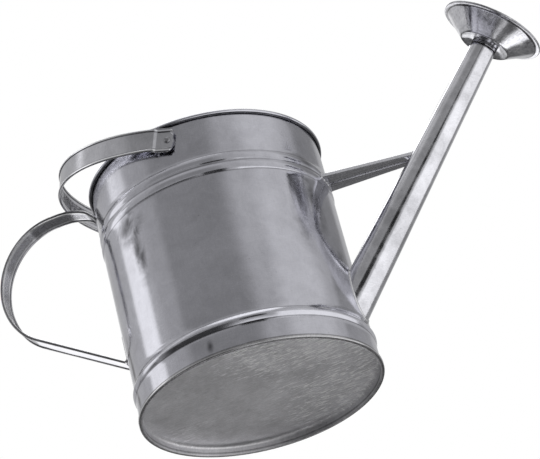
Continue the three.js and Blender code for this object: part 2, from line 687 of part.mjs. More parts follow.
// Lowest tilt, from level, at which the bail's edge clears the top of the back handle.
function bailRest() {
  const line = new THREE.SplineCurve(handleStations().map(({ point }) => point)).getSpacedPoints(600);
  const nearest = BAIL_REACH - ROLL_RADIUS;
  const farthest = Math.hypot(BAIL_REACH + ROLL_RADIUS, BAIL_WIDTH / 2);
  const tilts = line.map((point) => {
    const height = point.y + ROLL_RADIUS + BAIL_OVER_HANDLE - pivotHeight;
    const distance = Math.hypot(point.x, height);
    if (distance < nearest || distance > farthest) return 0;
    return Math.atan2(height, -point.x) + Math.asin(BAIL_WIDTH / 2 / distance);
  });
  return Math.max(...tilts);
}

const bailTilt = bailRest();

// The bail in its own plane: x is the reach from the pivot, y is across the can.
function bailStations() {
  const mid = tabFace + half;
  const joggleEnd = BAIL_TAB + BAIL_JOGGLE;
  const start = Math.acos(joggleEnd / BAIL_REACH);
  const arch = new THREE.EllipseCurve(0, 0, BAIL_REACH, BAIL_HALF_SPAN, -start, start);
  const end = [
    { point: new THREE.Vector2(-BAIL_TOE, -mid), narrow: BAIL_CORNER },
    { point: new THREE.Vector2(BAIL_CORNER - BAIL_TOE, -mid) },
    { point: new THREE.Vector2(BAIL_TAB, -mid) },
  ];
  const mirrored = end.map(({ point, narrow }) => ({ point: new THREE.Vector2(point.x, -point.y), narrow }));
  return [...end, ...arch.getPoints(ALONG_BAIL).map((point) => ({ point })), ...mirrored.reverse()]
    .map((station) => ({ ...station, pressedFor: BAIL_TOE + BAIL_TAB + PRESS_SPARE }));
}

function bailStrap() {
  const reach = new THREE.Vector3(-1, 0, 0);
  const span = new THREE.Vector3(0, 1, 0);
  const strap = toSolid(sweptStrap(bailStations(), BAIL_WIDTH, reach, span, 1, BAIL_FLARE));
  const holes = [-1, 1].map((side) =>
    pin(RIVET_SHANK + CLEARANCE, PIN_LENGTH, new THREE.Vector3(0, side * tabFace, 0), true));
  return toGeometry(cut(strap, holes));
}

// A flat washer with its axis along Z, from z = 0 up.
function washer(radius, thickness) {
  const bore = RIVET_SHANK + CLEARANCE;
  return turned([[bore, 0], [radius, 0], [radius, thickness], [bore, thickness]], AROUND_WASHER);
}

// ---------------------------------------------------------------- rivets

// A domed rivet along Z: its head sits above z = 0, its tail below z = -grip.
function rivet(grip) {
  const tailRadius = RIVET_HEAD - RIVET_TAIL_STEP;
  const tail = -grip - RIVET_TAIL;
  const dome = arc(0, 0, RIVET_HEAD, 0, 90, 3).map(([x, y]) => [x, (y * RIVET_RISE) / RIVET_HEAD]);
  return turned([
    [0, tail],
    [tailRadius - RIVET_TAIL_CUT, tail],
    [tailRadius, tail + RIVET_TAIL_CUT],
    [tailRadius, -grip],
    [RIVET_SHANK, -grip],
    [RIVET_SHANK, 0],
    ...dome.slice(0, -1),
    [0, RIVET_RISE],
  ], AROUND_RIVET);
}

// ---------------------------------------------------------------- assembly

const zinc = steel(0x9a9ca4);
const brightZinc = steel(0xa8aab2, 0.3);
const dullZinc = steel(0x8e908f, 0.45);
const solder = steel(0x7f8085, 0.4);

function spoutGroup() {
  const group = new THREE.Group();
  group.position.set(WALL_RADIUS, 0, SPOUT_HEIGHT);
  group.rotation.y = spoutTilt;
  group.add(named('spout_tube', spoutTube(), brightZinc), named('spout_solder', spoutSolder(), solder));
  const rose = new THREE.Group();
  rose.position.z = SPOUT_LENGTH + ROSE_GAP + roseDepth;
  rose.add(
    named('rose_ferrule', roseFerrule(), zinc),
    named('rose_funnel', roseFunnel(), zinc),
    named('rose_face', roseFace(), brightZinc),
  );
  group.add(rose);
  return group;
}

function braceGroup() {
  const group = new THREE.Group();
  group.add(
    named('brace_strip', brace(), zinc),
    named('brace_solder_can', braceSolder(canEnvelope, []), solder),
    named('brace_solder_spout', braceSolder(spoutEnvelope, [beyondSpout()]), solder),
  );
  return group;
}

function handleGroup() {
  const group = new THREE.Group();
  group.add(named('back_handle', backHandle(), brightZinc));
  handleRivetHeights().forEach((height, i) => {
    const upper = i < 2;
    const tabX = upper ? upperTabX : lowerTabX;
    const fixing = named(`handle_rivet_${i + 1}`, rivet(2 * SHEET + 3 * CLEARANCE), dullZinc);
    fixing.position.set(tabX - half - CLEARANCE, 0, height);
    fixing.rotation.y = -Math.PI / 2;
    group.add(fixing);
  });
  return group;
}

function bailGroup() {
  const group = new THREE.Group();
  group.position.z = pivotHeight;
  const strap = named('bail_strap', bailStrap(), brightZinc);
  strap.rotation.y = bailTilt;
  group.add(strap);
  for (const [side, label] of [[-1, 'right'], [1, 'left']]) {
    const end = new THREE.Group();
    end.rotation.x = (-side * Math.PI) / 2;
    const thickness = BAIL_STAND_OFF - 2 * CLEARANCE;
    const spacer = named(`bail_washer_${label}`, washer(WASHER_RADIUS, thickness), dullZinc);
    spacer.position.z = neckRadius + CLEARANCE;
    const sagitta = neckRadius - SHEET - Math.sqrt((neckRadius - SHEET) ** 2 - BURR_RADIUS ** 2);
    const burrTop = neckRadius - SHEET - sagitta - CLEARANCE;
    const burr = named(`bail_burr_${label}`, washer(BURR_RADIUS, BURR_THICKNESS), dullZinc);
    burr.position.z = burrTop - BURR_THICKNESS;
    const head = tabFace + SHEET + CLEARANCE;
    const grip = head - burrTop + BURR_THICKNESS + CLEARANCE;
    const pivot = named(`bail_rivet_${label}`, rivet(grip), dullZinc);
    pivot.position.z = head;
    end.add(spacer, burr, pivot);
    group.add(end);
  }
  return group;
}

const can = new THREE.Group();
can.add(
  named('body_wall', bodyWall(), zinc),
  named('rim_wire', rimWire(), dullZinc),
  named('bottom_pan', bottomPan(), dullZinc),
  spoutGroup(),
  braceGroup(),
  handleGroup(),
  bailGroup(),
);
const extent = new THREE.Box3().setFromObject(can, true);
can.position.x = -(extent.min.x + extent.max.x) / 2;

const wateringCan = new THREE.Group();
wateringCan.add(can);

export default wateringCan;
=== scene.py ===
import json
from math import acos, asin, atan2, copysign, cos, degrees, hypot, pi, radians, sin, sqrt, tan

import bmesh
import bpy
from mathutils import Matrix, Quaternion, Vector
from mathutils.noise import noise


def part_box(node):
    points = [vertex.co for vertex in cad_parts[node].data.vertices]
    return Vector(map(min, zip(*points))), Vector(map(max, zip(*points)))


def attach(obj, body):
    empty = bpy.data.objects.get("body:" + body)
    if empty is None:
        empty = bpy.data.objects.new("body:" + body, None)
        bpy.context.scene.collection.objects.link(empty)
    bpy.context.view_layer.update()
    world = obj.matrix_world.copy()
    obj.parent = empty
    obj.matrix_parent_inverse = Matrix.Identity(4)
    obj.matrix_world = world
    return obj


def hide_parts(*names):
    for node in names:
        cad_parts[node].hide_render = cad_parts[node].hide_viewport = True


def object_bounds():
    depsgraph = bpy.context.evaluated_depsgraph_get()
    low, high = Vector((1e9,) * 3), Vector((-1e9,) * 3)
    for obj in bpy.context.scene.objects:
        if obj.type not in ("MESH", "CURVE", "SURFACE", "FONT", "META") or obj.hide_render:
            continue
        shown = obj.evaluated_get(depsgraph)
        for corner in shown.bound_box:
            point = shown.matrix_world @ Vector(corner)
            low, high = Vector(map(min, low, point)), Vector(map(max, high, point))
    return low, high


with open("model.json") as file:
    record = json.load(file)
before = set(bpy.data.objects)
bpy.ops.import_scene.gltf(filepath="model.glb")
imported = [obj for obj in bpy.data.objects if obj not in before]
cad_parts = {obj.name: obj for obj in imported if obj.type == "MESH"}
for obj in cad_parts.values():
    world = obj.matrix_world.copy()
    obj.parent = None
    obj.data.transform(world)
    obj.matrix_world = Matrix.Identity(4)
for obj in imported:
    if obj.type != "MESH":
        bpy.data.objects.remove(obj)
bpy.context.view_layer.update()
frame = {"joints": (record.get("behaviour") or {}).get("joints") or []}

# Lengths are in millimetres, from the can's own axis, and turn into metres of the row frame in shape().
MM = 0.001
wall_low, wall_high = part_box("body_wall")
AXIS_X = (wall_low.x + wall_high.x) / 2
CAN_HEIGHT = wall_high.z / MM

SHEET = 0.7
GAP = 0.3

# ---- sizes of the can

WALL_RADIUS = 112.9
NECK_RADIUS = 112.2
FOOT_RADIUS = 113.9
WALL_BOTTOM = 1.0
CURL_RADIUS = 2.1
CURL_CENTRE_RADIUS = 113.1
CURL_CENTRE = CAN_HEIGHT - CURL_RADIUS
UPPER_BEAD_TOP = CAN_HEIGHT - 45.3
BEAD_WIDTH = 9.2
BEAD_PROUD = 0.9
BEAD_GAP = 1.9
UPPER_BEAD_LOW = UPPER_BEAD_TOP - BEAD_WIDTH
LOWER_BEAD_LOW = UPPER_BEAD_LOW - BEAD_GAP - BEAD_WIDTH
FOOT_BEAD_BOTTOM = 23.5
FOOT_BEAD_WIDTH = 10.0
FOOT_BEAD_TOP = FOOT_BEAD_BOTTOM + FOOT_BEAD_WIDTH
FOOT_BEAD_PROUD = 2.0
PAN_RECESS = 10.0
PAN_FILLET = 3.5
FOLD_RADIUS = 1.1
HEM_PROUD = 1.8
HEM_HEIGHT = 3.2
AROUND_CAN = 256

# ---- meshes

CREASE = 38  # degrees: an edge sharper than this is shaded as a crease
STRAP_CREASE = 50
NO_CREASE = 180
MERGE = 1e-6
X, Y, Z = Vector((1, 0, 0)), Vector((0, 1, 0)), Vector((0, 0, 1))


def around(radius, turn, height=0.0):
    """A point at a radius and a turn about Z."""
    return Vector((radius * cos(turn), radius * sin(turn), height))


def turns(count):
    """Even steps once round, as angles."""
    return [2 * pi * i / count for i in range(count)]


def lifted(height):
    return Matrix.Translation((0, 0, height))


def clamp(share):
    return min(max(share, 0), 1)


def eased(share):
    """A share from 0 to 1 with a soft start and a soft end."""
    return share * share * (3 - 2 * share)


def rings(count, length, joined=False):
    """Quads over `count` rows of `length` points, each row closed on itself; `joined` adds quads from
    the last row to the first."""
    faces = []
    for row in range(count if joined else count - 1):
        after = (row + 1) % count * length
        for i in range(length):
            j = (i + 1) % length
            faces.append((row * length + i, row * length + j, after + j, after + i))
    return faces


def crossing(low, high, before):
    """The place between low and high where before() turns from true to false, found by halving."""
    for _ in range(40):
        mid = (low + high) / 2
        low, high = (mid, high) if before(mid) else (low, mid)
    return high


def linked(name, data):
    """A new object in the scene."""
    obj = bpy.data.objects.new(name, data)
    bpy.context.scene.collection.objects.link(obj)
    return obj


def shade(mesh, sharp):
    mesh.shade_smooth()
    mesh.set_sharp_from_angle(angle=radians(sharp))


def shape(name, points, faces, sharp=CREASE):
    """A mesh object from points in millimetres, with smooth shading and sharp creases."""
    mesh = bpy.data.meshes.new(name)
    mesh.from_pydata([(x * MM + AXIS_X, y * MM, z * MM) for x, y, z in points], [], faces)
    work = bmesh.new()
    work.from_mesh(mesh)
    bmesh.ops.remove_doubles(work, verts=work.verts, dist=MERGE)
    bmesh.ops.recalc_face_normals(work, faces=work.faces)
    work.to_mesh(mesh)
    work.free()
    shade(mesh, sharp)
    return linked(name, mesh)


def piece(obj, finish, body, slot, *nodes):
    """Give a mesh its material, parent it to its body's empty, and hide the CAD parts it stands for."""
    obj.data.materials.clear()
    obj.data.materials.append(finish)
    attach(obj, body)
    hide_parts(*nodes)


def arc(x, y, radius, start, end, steps):
    """Points on an arc, with its angles in degrees."""
    angles = [radians(start + (end - start) * i / steps) for i in range(steps + 1)]
    return [(x + radius * cos(t), y + radius * sin(t)) for t in angles]


def lathe(name, outline, segments, place=None, shift=None):
    """Turn a closed (radius, height) outline about Z, or about the Z of `place`."""
    points = []
    for turn in turns(segments):
        for radius, height in outline:
            point = around(radius + (shift(height, turn) if shift else 0), turn, height)
            points.append(place @ point if place else point)
    count = len(outline)
    faces = []
    for i in range(segments):
        after = (i + 1) % segments
        for j in range(count):
            k = (j + 1) % count
            if max(outline[j][0], outline[k][0]) > MERGE:
                faces.append((i * count + j, after * count + j, after * count + k, i * count + k))
    return shape(name, points, faces)


def spread(low, high, step):
    """Values from low to high at even spacing, both ends left out."""
    count = max(int((high - low) / step), 1)
    return [low + (high - low) * i / count for i in range(1, count)]


def drill(obj, tools):
    """Cut the tools out of obj, and remove them."""
    for tool in tools:
        cut = obj.modifiers.new("cut", "BOOLEAN")
        cut.operation = "DIFFERENCE"
        cut.solver = "EXACT"
        cut.object = tool
        bpy.context.view_layer.update()
        view = bpy.context.evaluated_depsgraph_get()
        kept = bpy.data.meshes.new_from_object(obj.evaluated_get(view))
        obj.modifiers.remove(cut)
        obj.data = kept
        bpy.data.objects.remove(tool)
    shade(obj.data, CREASE)
    return obj


def rod(radius, start, end, sides=32):
    """A plain round cutter between two points."""
    start, end = Vector(start), Vector(end)
    turn = (end - start).to_track_quat("Z", "Y")
    ring = [turn @ around(radius, t) for t in turns(sides)]
    points = [start + p for p in ring] + [end + p for p in ring]
    faces = rings(2, sides) + [tuple(range(sides)), tuple(range(sides, 2 * sides))]
    return shape("cutter", points, faces)


# ---- materials


class Graph:
    """A short way to write a node tree; kinds leave out ShaderNode."""

    def __init__(self, tree):
        self.tree = tree
        tree.nodes.clear()

    def add(self, kind, inputs=None, **settings):
        node = self.tree.nodes.new("ShaderNode" + kind)
        for key, value in settings.items():
            setattr(node, key, value)
        for key, value in (inputs or {}).items():
            if isinstance(value, bpy.types.NodeSocket):
                self.tree.links.new(value, node.inputs[key])
            else:
                node.inputs[key].default_value = value
        return node

    def math(self, operation, a, b=0.0, c=0.0):
        return self.add("Math", {0: a, 1: b, 2: c}, operation=operation).outputs[0]

    def fit(self, value, low, high, to_low, to_high):
        inputs = {"Value": value, "From Min": low, "From Max": high, "To Min": to_low, "To Max": to_high}
        return self.add("MapRange", inputs, interpolation_type="SMOOTHSTEP").outputs["Result"]

    def swing(self, value, reach, amount):
        """A noise turned into +-amount, reached at `reach` either side of its middle."""
        return self.fit(value, 0.5 - reach, 0.5 + reach, -amount, amount)

    def noise(self, vector, scale, detail=3.0, rough=0.5, distortion=0.0):
        inputs = {"Vector": vector, "Scale": scale, "Detail": detail, "Roughness": rough,
                  "Distortion": distortion}
        return self.add("TexNoise", inputs).outputs["Fac"]

    def mapped(self, vector, how, value):
        return self.add("Mapping", {"Vector": vector, how: value}).outputs["Vector"]

    def vector(self, operation, a, b=(0, 0, 0)):
        output = "Value" if operation in ("LENGTH", "DOT_PRODUCT") else "Vector"
        return self.add("VectorMath", {0: a, 1: b}, operation=operation).outputs[output]

    def axis(self, vector, letter):
        return self.add("SeparateXYZ", {0: vector}).outputs[letter]


# Features of the noises to a metre.
CLOUDS = 14
PATCHES = 60
# ragged edges of the painted dark reflections:
REFLECTION_EDGES = 48
ROLLING_LINES = 260
CROSS_LINES = 900
SPECKS = 420
WAVES = 90
SCRATCHES = [110, 620, 620]
WORN_PLACES = 9

SCRATCH_SHIFT = (0.05, 0.02, 0.0)
SCRATCH_LOW = 6.0  # heights between which the scratches of the pan's floor begin
SCRATCH_HIGH = 9.5
RAGGED = 0.3
# share of a painted shade line's half width that is at full strength
LINE_CORE = 0.35
DULL_FADE = 0.004
DULLER = 0.04
KEEN_FADE = 0.003
KEEN_ROUGHNESS = 0.13
RELIEF = 0.0001


def new_material(name):
    material = bpy.data.materials.new(name)
    material.use_nodes = True
    return material, Graph(material.node_tree)


def can_point(azimuth, height):
    """A point on the wall, in metres of the row frame; the azimuth is in degrees."""
    turn = radians(azimuth)
    return Vector((AXIS_X + WALL_RADIUS * MM * cos(turn), WALL_RADIUS * MM * sin(turn),
                   height * MM))


def scratches_and_painted_sheen(g, place, value, amount):
    """Bright scratches and a sheen on the pan's floor, most of them towards the spout. The scratches and
    the sheen's patches are wear; the sheen's rise towards the spout side is a painted highlight.
    """
    marks = g.fit(g.noise(g.mapped(place, "Scale", SCRATCHES), 1, 3, 0.6, 0.6), 0.5, 0.66, -0.4, 1.0)
    shifted = g.mapped(place, "Location", SCRATCH_SHIFT)
    along = g.axis(place, "X")
    # wear patches, plus a painted highlight that brightens the spout side of the pan's floor
    wear_and_painted_sheen = g.math("ADD", g.noise(shifted, WORN_PLACES, 3, 0.5),
                  g.fit(along, AXIS_X - 0.09, AXIS_X + 0.1, -0.2, 0.17))
    height = g.axis(place, "Z")
    wear_and_painted_sheen = g.math("MULTIPLY", g.fit(wear_and_painted_sheen, 0.36, 0.72, 0.08, 1.0),
                  g.fit(height, SCRATCH_LOW * MM, SCRATCH_HIGH * MM, 0.0, 1.0))
    value = g.math("ADD", value, g.math("MULTIPLY", g.math("MULTIPLY", marks, wear_and_painted_sheen), amount))
    return g.math("ADD", value, g.math("MULTIPLY", g.math("SUBTRACT", wear_and_painted_sheen, 0.5), amount * 0.5))


def darken_with_painted_reflections(g, place, value, dark_reflections):
    """Painted dark reflections of nearby parts, as blots with ragged edges: (azimuth, height, half width,
    half height, strength).
    """
    edge_noise = g.noise(place, REFLECTION_EDGES, 4, 0.55, 0.6)
    for azimuth, height, wide, tall, strength in dark_reflections:
        away = g.vector("SUBTRACT", place, can_point(azimuth, height))
        away = g.vector("MULTIPLY", away, (1 / (wide * MM), 1 / (wide * MM), 1 / (tall * MM)))
        ragged = g.math("ADD", g.vector("LENGTH", away), g.swing(edge_noise, 0.2, RAGGED))
        value = g.math("SUBTRACT", value, g.fit(ragged, 0.0, 1.2, strength, 0.0))
    return value


def painted_shade_and_highlight(g, place, value, shade_and_highlight_lines, shade_from, shade_axis):
    """Thin lines of painted shade in creases and along edges: (distance from a plane, half width,
    strength). A negative strength is a bright line of painted highlight."""
    away = g.vector("DOT_PRODUCT", g.vector("SUBTRACT", place, shade_from), shade_axis)
    away = g.math("ABSOLUTE", away)
    for distance, half, strength in shade_and_highlight_lines:
        off = g.math("ABSOLUTE", g.math("SUBTRACT", away, distance * MM))
        value = g.math("SUBTRACT", value, g.fit(off, half * LINE_CORE * MM, half * MM, strength, 0.0))
    return value


def galvanised(name, tone, rough, grain=(1, 1, 6), streak=0.04, dull=0.03, speck=0.1, bump=0.12,
               cloudy=0.15, wave=1.6, scratch_and_sheen=0.0, dark_reflections=(), shade_and_highlight_lines=(), shade_from=(0, 0, 0),
               shade_axis=(0, 0, 1), dull_above=None, keen_beyond=None):
    """Zinc coated sheet: fine rolling lines, faint clouds, small dark specks and a thin waviness. Where
    asked for, it has scratches with a sheen that is partly a painted highlight, painted dark reflections,
    painted lines of shade and highlight, a duller finish above a height in metres, and a keener one beyond
    a radius in metres."""
    material, g = new_material(name)
    place = g.add("TexCoord").outputs["Object"]
    clouds = g.noise(place, CLOUDS, 4, 0.55, 0.4)
    patches = g.noise(place, PATCHES, 4, 0.6, 0.8)
    fine = g.noise(g.mapped(place, "Scale", [ROLLING_LINES * k for k in grain]), 1, 4, 0.65)
    cross = g.noise(g.mapped(place, "Scale", [CROSS_LINES / k for k in grain]), 1, 3, 0.6)
    lines = g.math("ADD", g.math("MULTIPLY", fine, 0.6), g.math("MULTIPLY", cross, 0.4))
    specks = g.fit(g.noise(place, SPECKS, 2, 0.5), 0.70, 0.78, 0.0, 1.0)

    value = g.math("ADD", g.swing(clouds, 0.15, dull), g.swing(patches, 0.2, dull))
    value = g.math("ADD", value, g.swing(lines, 0.15, streak))
    value = g.math("SUBTRACT", value, g.math("MULTIPLY", specks, speck))
    if scratch_and_sheen:
        value = scratches_and_painted_sheen(g, place, value, scratch_and_sheen)
    if dark_reflections:
        value = darken_with_painted_reflections(g, place, value, dark_reflections)
    if shade_and_highlight_lines:
        value = painted_shade_and_highlight(g, place, value, shade_and_highlight_lines, shade_from, shade_axis)
    bright = g.math("ADD", value, 1.0)
    grey = g.add("CombineColor", {0: bright, 1: bright, 2: bright}).outputs[0]
    colour = g.add("Mix", {"Factor": 1.0, "A": (*tone, 1.0), "B": grey}, data_type="RGBA",
                   blend_type="MULTIPLY", clamp_result=True)

    roughness = g.fit(patches, 0.3, 0.7, rough * (1 - cloudy), rough * (1 + cloudy))
    roughness = g.math("ADD", roughness, g.swing(lines, 0.15, rough * 0.1))
    roughness = g.math("ADD", roughness, g.math("MULTIPLY", specks, 0.1))
    if dull_above:
        height = g.axis(place, "Z")
        duller = g.fit(height, dull_above - DULL_FADE, dull_above, 0.0, DULLER)
        roughness = g.math("ADD", roughness, duller)
    if keen_beyond:
        flat = g.vector("MULTIPLY", g.vector("SUBTRACT", place, (AXIS_X, 0, 0)), (1, 1, 0))
        radius = g.vector("LENGTH", flat)
        keener = g.fit(radius, keen_beyond - KEEN_FADE, keen_beyond, 0.0, rough - KEEN_ROUGHNESS)
        roughness = g.math("SUBTRACT", roughness, keener)

    relief = g.math("ADD", g.math("MULTIPLY", lines, 0.5),
                    g.math("MULTIPLY", g.noise(place, WAVES, 3), wave))
    normal = g.add("Bump", {"Strength": bump, "Distance": RELIEF, "Height": relief}).outputs[0]
    shader = g.add("BsdfPrincipled", {
        "Base Color": colour.outputs["Result"], "Metallic": 1.0, "Roughness": roughness, "Normal": normal})
    g.add("OutputMaterial", {"Surface": shader.outputs[0]})
    return material


# ---- can body


def bulge(bottom, width, proud, start, end, steps, fullness=2.0):
    """Points of one rolled bead, both ends included: the lower the fullness, the straighter its flanks."""
    return [(start + (end - start) * s + proud * (1 - abs(2 * s - 1) ** fullness), bottom + width * s)
            for s in (i / steps for i in range(steps + 1))]


# The wall's outer face, as (radius, height) from the foot to the start of the curl.
WALL_FACE = [
    (FOOT_RADIUS, WALL_BOTTOM),
    *[(FOOT_RADIUS, z) for z in spread(WALL_BOTTOM, FOOT_BEAD_BOTTOM, 4)],
    *bulge(FOOT_BEAD_BOTTOM, FOOT_BEAD_WIDTH, FOOT_BEAD_PROUD, FOOT_RADIUS, WALL_RADIUS, 24, 1.35),
    *[(WALL_RADIUS, z) for z in spread(FOOT_BEAD_TOP, LOWER_BEAD_LOW, 5)],
    *bulge(LOWER_BEAD_LOW, BEAD_WIDTH, BEAD_PROUD, WALL_RADIUS, WALL_RADIUS, 12),
    *bulge(UPPER_BEAD_LOW, BEAD_WIDTH, BEAD_PROUD, WALL_RADIUS, NECK_RADIUS, 12),
    *[(NECK_RADIUS, z) for z in spread(UPPER_BEAD_TOP, CURL_CENTRE - 1, 4)],
]
STEADY = 8.0  # the wall stays true for this height at its foot and its rim
WAVINESS = 0.13
FINE_WAVINESS = 0.025
PAN_WAVINESS = 0.3


def wall_radius(height):
    """Radius of the wall's outer face at a height."""
    for (r0, z0), (r1, z1) in zip(WALL_FACE, WALL_FACE[1:]):
        if z0 <= height <= z1:
            return r0 + (r1 - r0) * (height - z0) / (z1 - z0)
    return NECK_RADIUS


def in_wall(point, clear):
    return hypot(point.x, point.y) < wall_radius(point.z) + clear


def hand_made(height, turn):
    """Soft unevenness of the rolled sheet."""
    if height < STEADY:
        return 0
    fade = clamp((CAN_HEIGHT - STEADY - height) / 12) * min((height - STEADY) / 10, 1)
    slow, fine = around(2.2, turn, height * 0.011), around(6, turn, height * 0.03 + 7)
    return fade * (WAVINESS * noise(slow) + FINE_WAVINESS * noise(fine))


def body_wall():
    inner = [(r - SHEET, z) for r, z in reversed(WALL_FACE)]
    curl = arc(CURL_CENTRE_RADIUS, CURL_CENTRE, CURL_RADIUS, 180, -100, 20)
    under = arc(CURL_CENTRE_RADIUS, CURL_CENTRE, CURL_RADIUS - SHEET, -100, 180, 20)
    # the sheet's outer face turns into the inside of the curl, and its inner face into the outside
    outline = WALL_FACE + under[::-1] + curl[::-1] + inner
    wall = lathe("can_wall", outline, AROUND_CAN, shift=hand_made)
    bore = rod(BORE_BASE, spout_at(-40), spout_at(40), 64)
    return drill(wall, [bore])


def bottom_pan():
    skirt_out = FOOT_RADIUS - SHEET - GAP
    skirt_in = skirt_out - SHEET
    hem_out = FOOT_RADIUS + HEM_PROUD
    centre = skirt_in - PAN_FILLET
    floor = spread(0, centre, 5)
    outline = [
        (0, PAN_RECESS),
        *[(r, PAN_RECESS) for r in floor],
        *arc(centre, PAN_RECESS - PAN_FILLET, PAN_FILLET, 90, 0, 8),
        *arc(skirt_in + FOLD_RADIUS, FOLD_RADIUS, FOLD_RADIUS, 180, 270, 6),
        *arc(hem_out - FOLD_RADIUS, FOLD_RADIUS, FOLD_RADIUS, 270, 360, 6),
        *arc(hem_out - SHEET / 2, HEM_HEIGHT - SHEET / 2, SHEET / 2, 0, 180, 6),
        (hem_out - SHEET, FOLD_RADIUS),
        (skirt_out, SHEET),
        *arc(centre, PAN_RECESS - PAN_FILLET, PAN_FILLET + SHEET, 0, 90, 8),
        *[(r, PAN_RECESS + SHEET) for r in reversed(floor)],
        (0, PAN_RECESS + SHEET),
    ]
    pan = lathe("can_bottom", outline, AROUND_CAN)
    for vertex in pan.data.vertices:
        x, y, z = (vertex.co.x - AXIS_X) / MM, vertex.co.y / MM, vertex.co.z / MM
        reach = hypot(x, y)
        if z > PAN_RECESS - 0.1 and reach < centre:
            fade = min((centre - reach) / 25, 1)
            wave = noise(Vector((x, y, 0)) / 55) + 0.35 * noise(Vector((x, y, 40)) / 18)
            vertex.co.z += MM * PAN_WAVINESS * fade * wave
    return pan


# ---- spout

SPOUT_HEIGHT = 67.3
SPOUT_TILT = radians(90 - 47.95)
SPOUT_LENGTH = 268.3
SPOUT_BASE = 18.2
SPOUT_TIP = 12.5
SPOUT_LAP = 5.0
BORE_BASE = SPOUT_BASE - SHEET
AROUND_SPOUT = 120
SPOUT_ROWS = 60
SPOUT_WAVINESS = 0.1
JOINT_CLEAR = 0.1
SOLDER_WIDTH = 1.5
SOLDER_HEIGHT = 0.9
SOLDER_STEPS = 160
spout_place = Matrix.Translation((WALL_RADIUS, 0, SPOUT_HEIGHT)) @ Matrix.Rotation(SPOUT_TILT, 4, "Y")


def spout_at(length, radius=0.0, turn=0.0):
    """A point of the spout: length from the wall, and turn from its lower side."""
    return spout_place @ around(radius, turn, length)


def spout_radius(length):
    return SPOUT_BASE - (SPOUT_BASE - SPOUT_TIP) * length / SPOUT_LENGTH


def lap(length, turn):
    """Rise of the lapped seam on the upper side: a step on one side, a slow slope on the other."""
    along = (turn - pi) * spout_radius(length)
    step = clamp((SPOUT_LAP - along) / 0.5)
    slope = clamp((along + 2.2 * SPOUT_LAP) / (1.6 * SPOUT_LAP))
    return 0.9 * SHEET * step * eased(slope)


def in_spout(point, clear):
    local = spout_place.inverted() @ point
    turn = atan2(local.y, local.x) % (2 * pi)
    return hypot(local.x, local.y) < spout_radius(local.z) + lap(local.z, turn) + clear


def leaves_wall(turn, radius_at):
    """Length at which a line along the spout comes out of the wall."""
    return crossing(-40.0, 60.0, lambda at: in_wall(spout_at(at, radius_at(at), turn), JOINT_CLEAR))


def spout_tube():
    count = AROUND_SPOUT
    starts = [leaves_wall(turn, spout_radius) for turn in turns(count)]
    bores = [leaves_wall(turn, lambda at: spout_radius(at) - SHEET) for turn in turns(count)]
    outer, inner = [], []
    for row in range(SPOUT_ROWS + 1):
        for turn, start, bore in zip(turns(count), starts, bores):
            length = start + (SPOUT_LENGTH - start) * row / SPOUT_ROWS
            wobble = SPOUT_WAVINESS * noise(around(1.3, turn, length * 0.03))
            wobble *= min(row / 6, (SPOUT_ROWS - row) / 6, 1)
            outer.append(spout_at(length, spout_radius(length) + lap(length, turn) + wobble, turn))
            length = bore + (SPOUT_LENGTH - bore) * row / SPOUT_ROWS
            inner.append(spout_at(length, spout_radius(length) - SHEET, turn))
    size = len(outer)
    tube = rings(SPOUT_ROWS + 1, count)
    faces = tube + [tuple(size + i for i in reversed(f)) for f in tube]
    for base in (0, SPOUT_ROWS * count):
        for i in range(count):
            j = (i + 1) % count
            faces.append((base + i, base + j, size + base + j, size + base + i))
    return shape("spout", outer + inner, faces)


def bead_along(name, path, away, width, height, seed, sides=10, uneven=0.35):
    """A run of solder: a low uneven bead along a path that closes; `away` points out of the joint."""
    count = len(path)
    points = []
    for i, (point, out) in enumerate(zip(path, away)):
        before, after = path[i - 1], path[(i + 1) % count]
        travel = (after - before).normalized()
        side = travel.cross(out).normalized()
        swell = 1 + uneven * noise(Vector((i * 0.21, seed, 0)))
        swell += 0.2 * noise(Vector((i * 0.9, seed, 5)))
        for turn in turns(sides):
            points.append(point + side * (width * swell * cos(turn))
                          + out * (height * swell * sin(turn)))
    return shape(name, points, rings(count, sides, joined=True), NO_CREASE)


def spout_solder():
    path, away = [], []
    for turn in turns(SOLDER_STEPS):
        length = leaves_wall(turn, lambda at: spout_radius(at) + 0.5)
        point = spout_at(length, spout_radius(length) + 0.4, turn)
        wall = Vector((point.x, point.y, 0)).normalized()
        radial = (spout_at(length, 1, turn) - spout_at(length, 0, turn)).normalized()
        path.append(point)
        away.append((wall + radial).normalized())
    return bead_along("spout_solder_bead", path, away, SOLDER_WIDTH, SOLDER_HEIGHT, 3.0)


# ---- rose
# Heights are measured from the plane of the rolled rim, minus towards the spout.

ROSE_RADIUS = 50.0
ROSE_GAP = 0.9
ROSE_SLEEVE = 20.0
ROSE_NECK_OUT = 3.3
ROSE_PLATE = 24.6
ROSE_DISH = 4.1
ROSE_FUNNEL = 16.6
ROSE_FLANGE = 3.4
ROSE_ROLL = 1.15
ROSE_LIP = 2.8
ROSE_DOME = 4.5
ROSE_HOLE = 1.0
ROSE_PITCH = 10.4
ROSE_TWIST = 0.3
HOLE_SIDES = 12
NECK_FILLET = 0.4
DISH_FILLET = 0.5
GROOVE_DEPTH = 0.3
GROOVE_HALF = 0.35
ROSE_NECK = SPOUT_TIP + 0.3
ROSE_BACK = -ROSE_FUNNEL - ROSE_ROLL
ROSE_DEPTH = ROSE_NECK_OUT - ROSE_BACK
AROUND_ROSE = 144
rose_place = spout_place @ lifted(SPOUT_LENGTH + ROSE_GAP + ROSE_DEPTH)


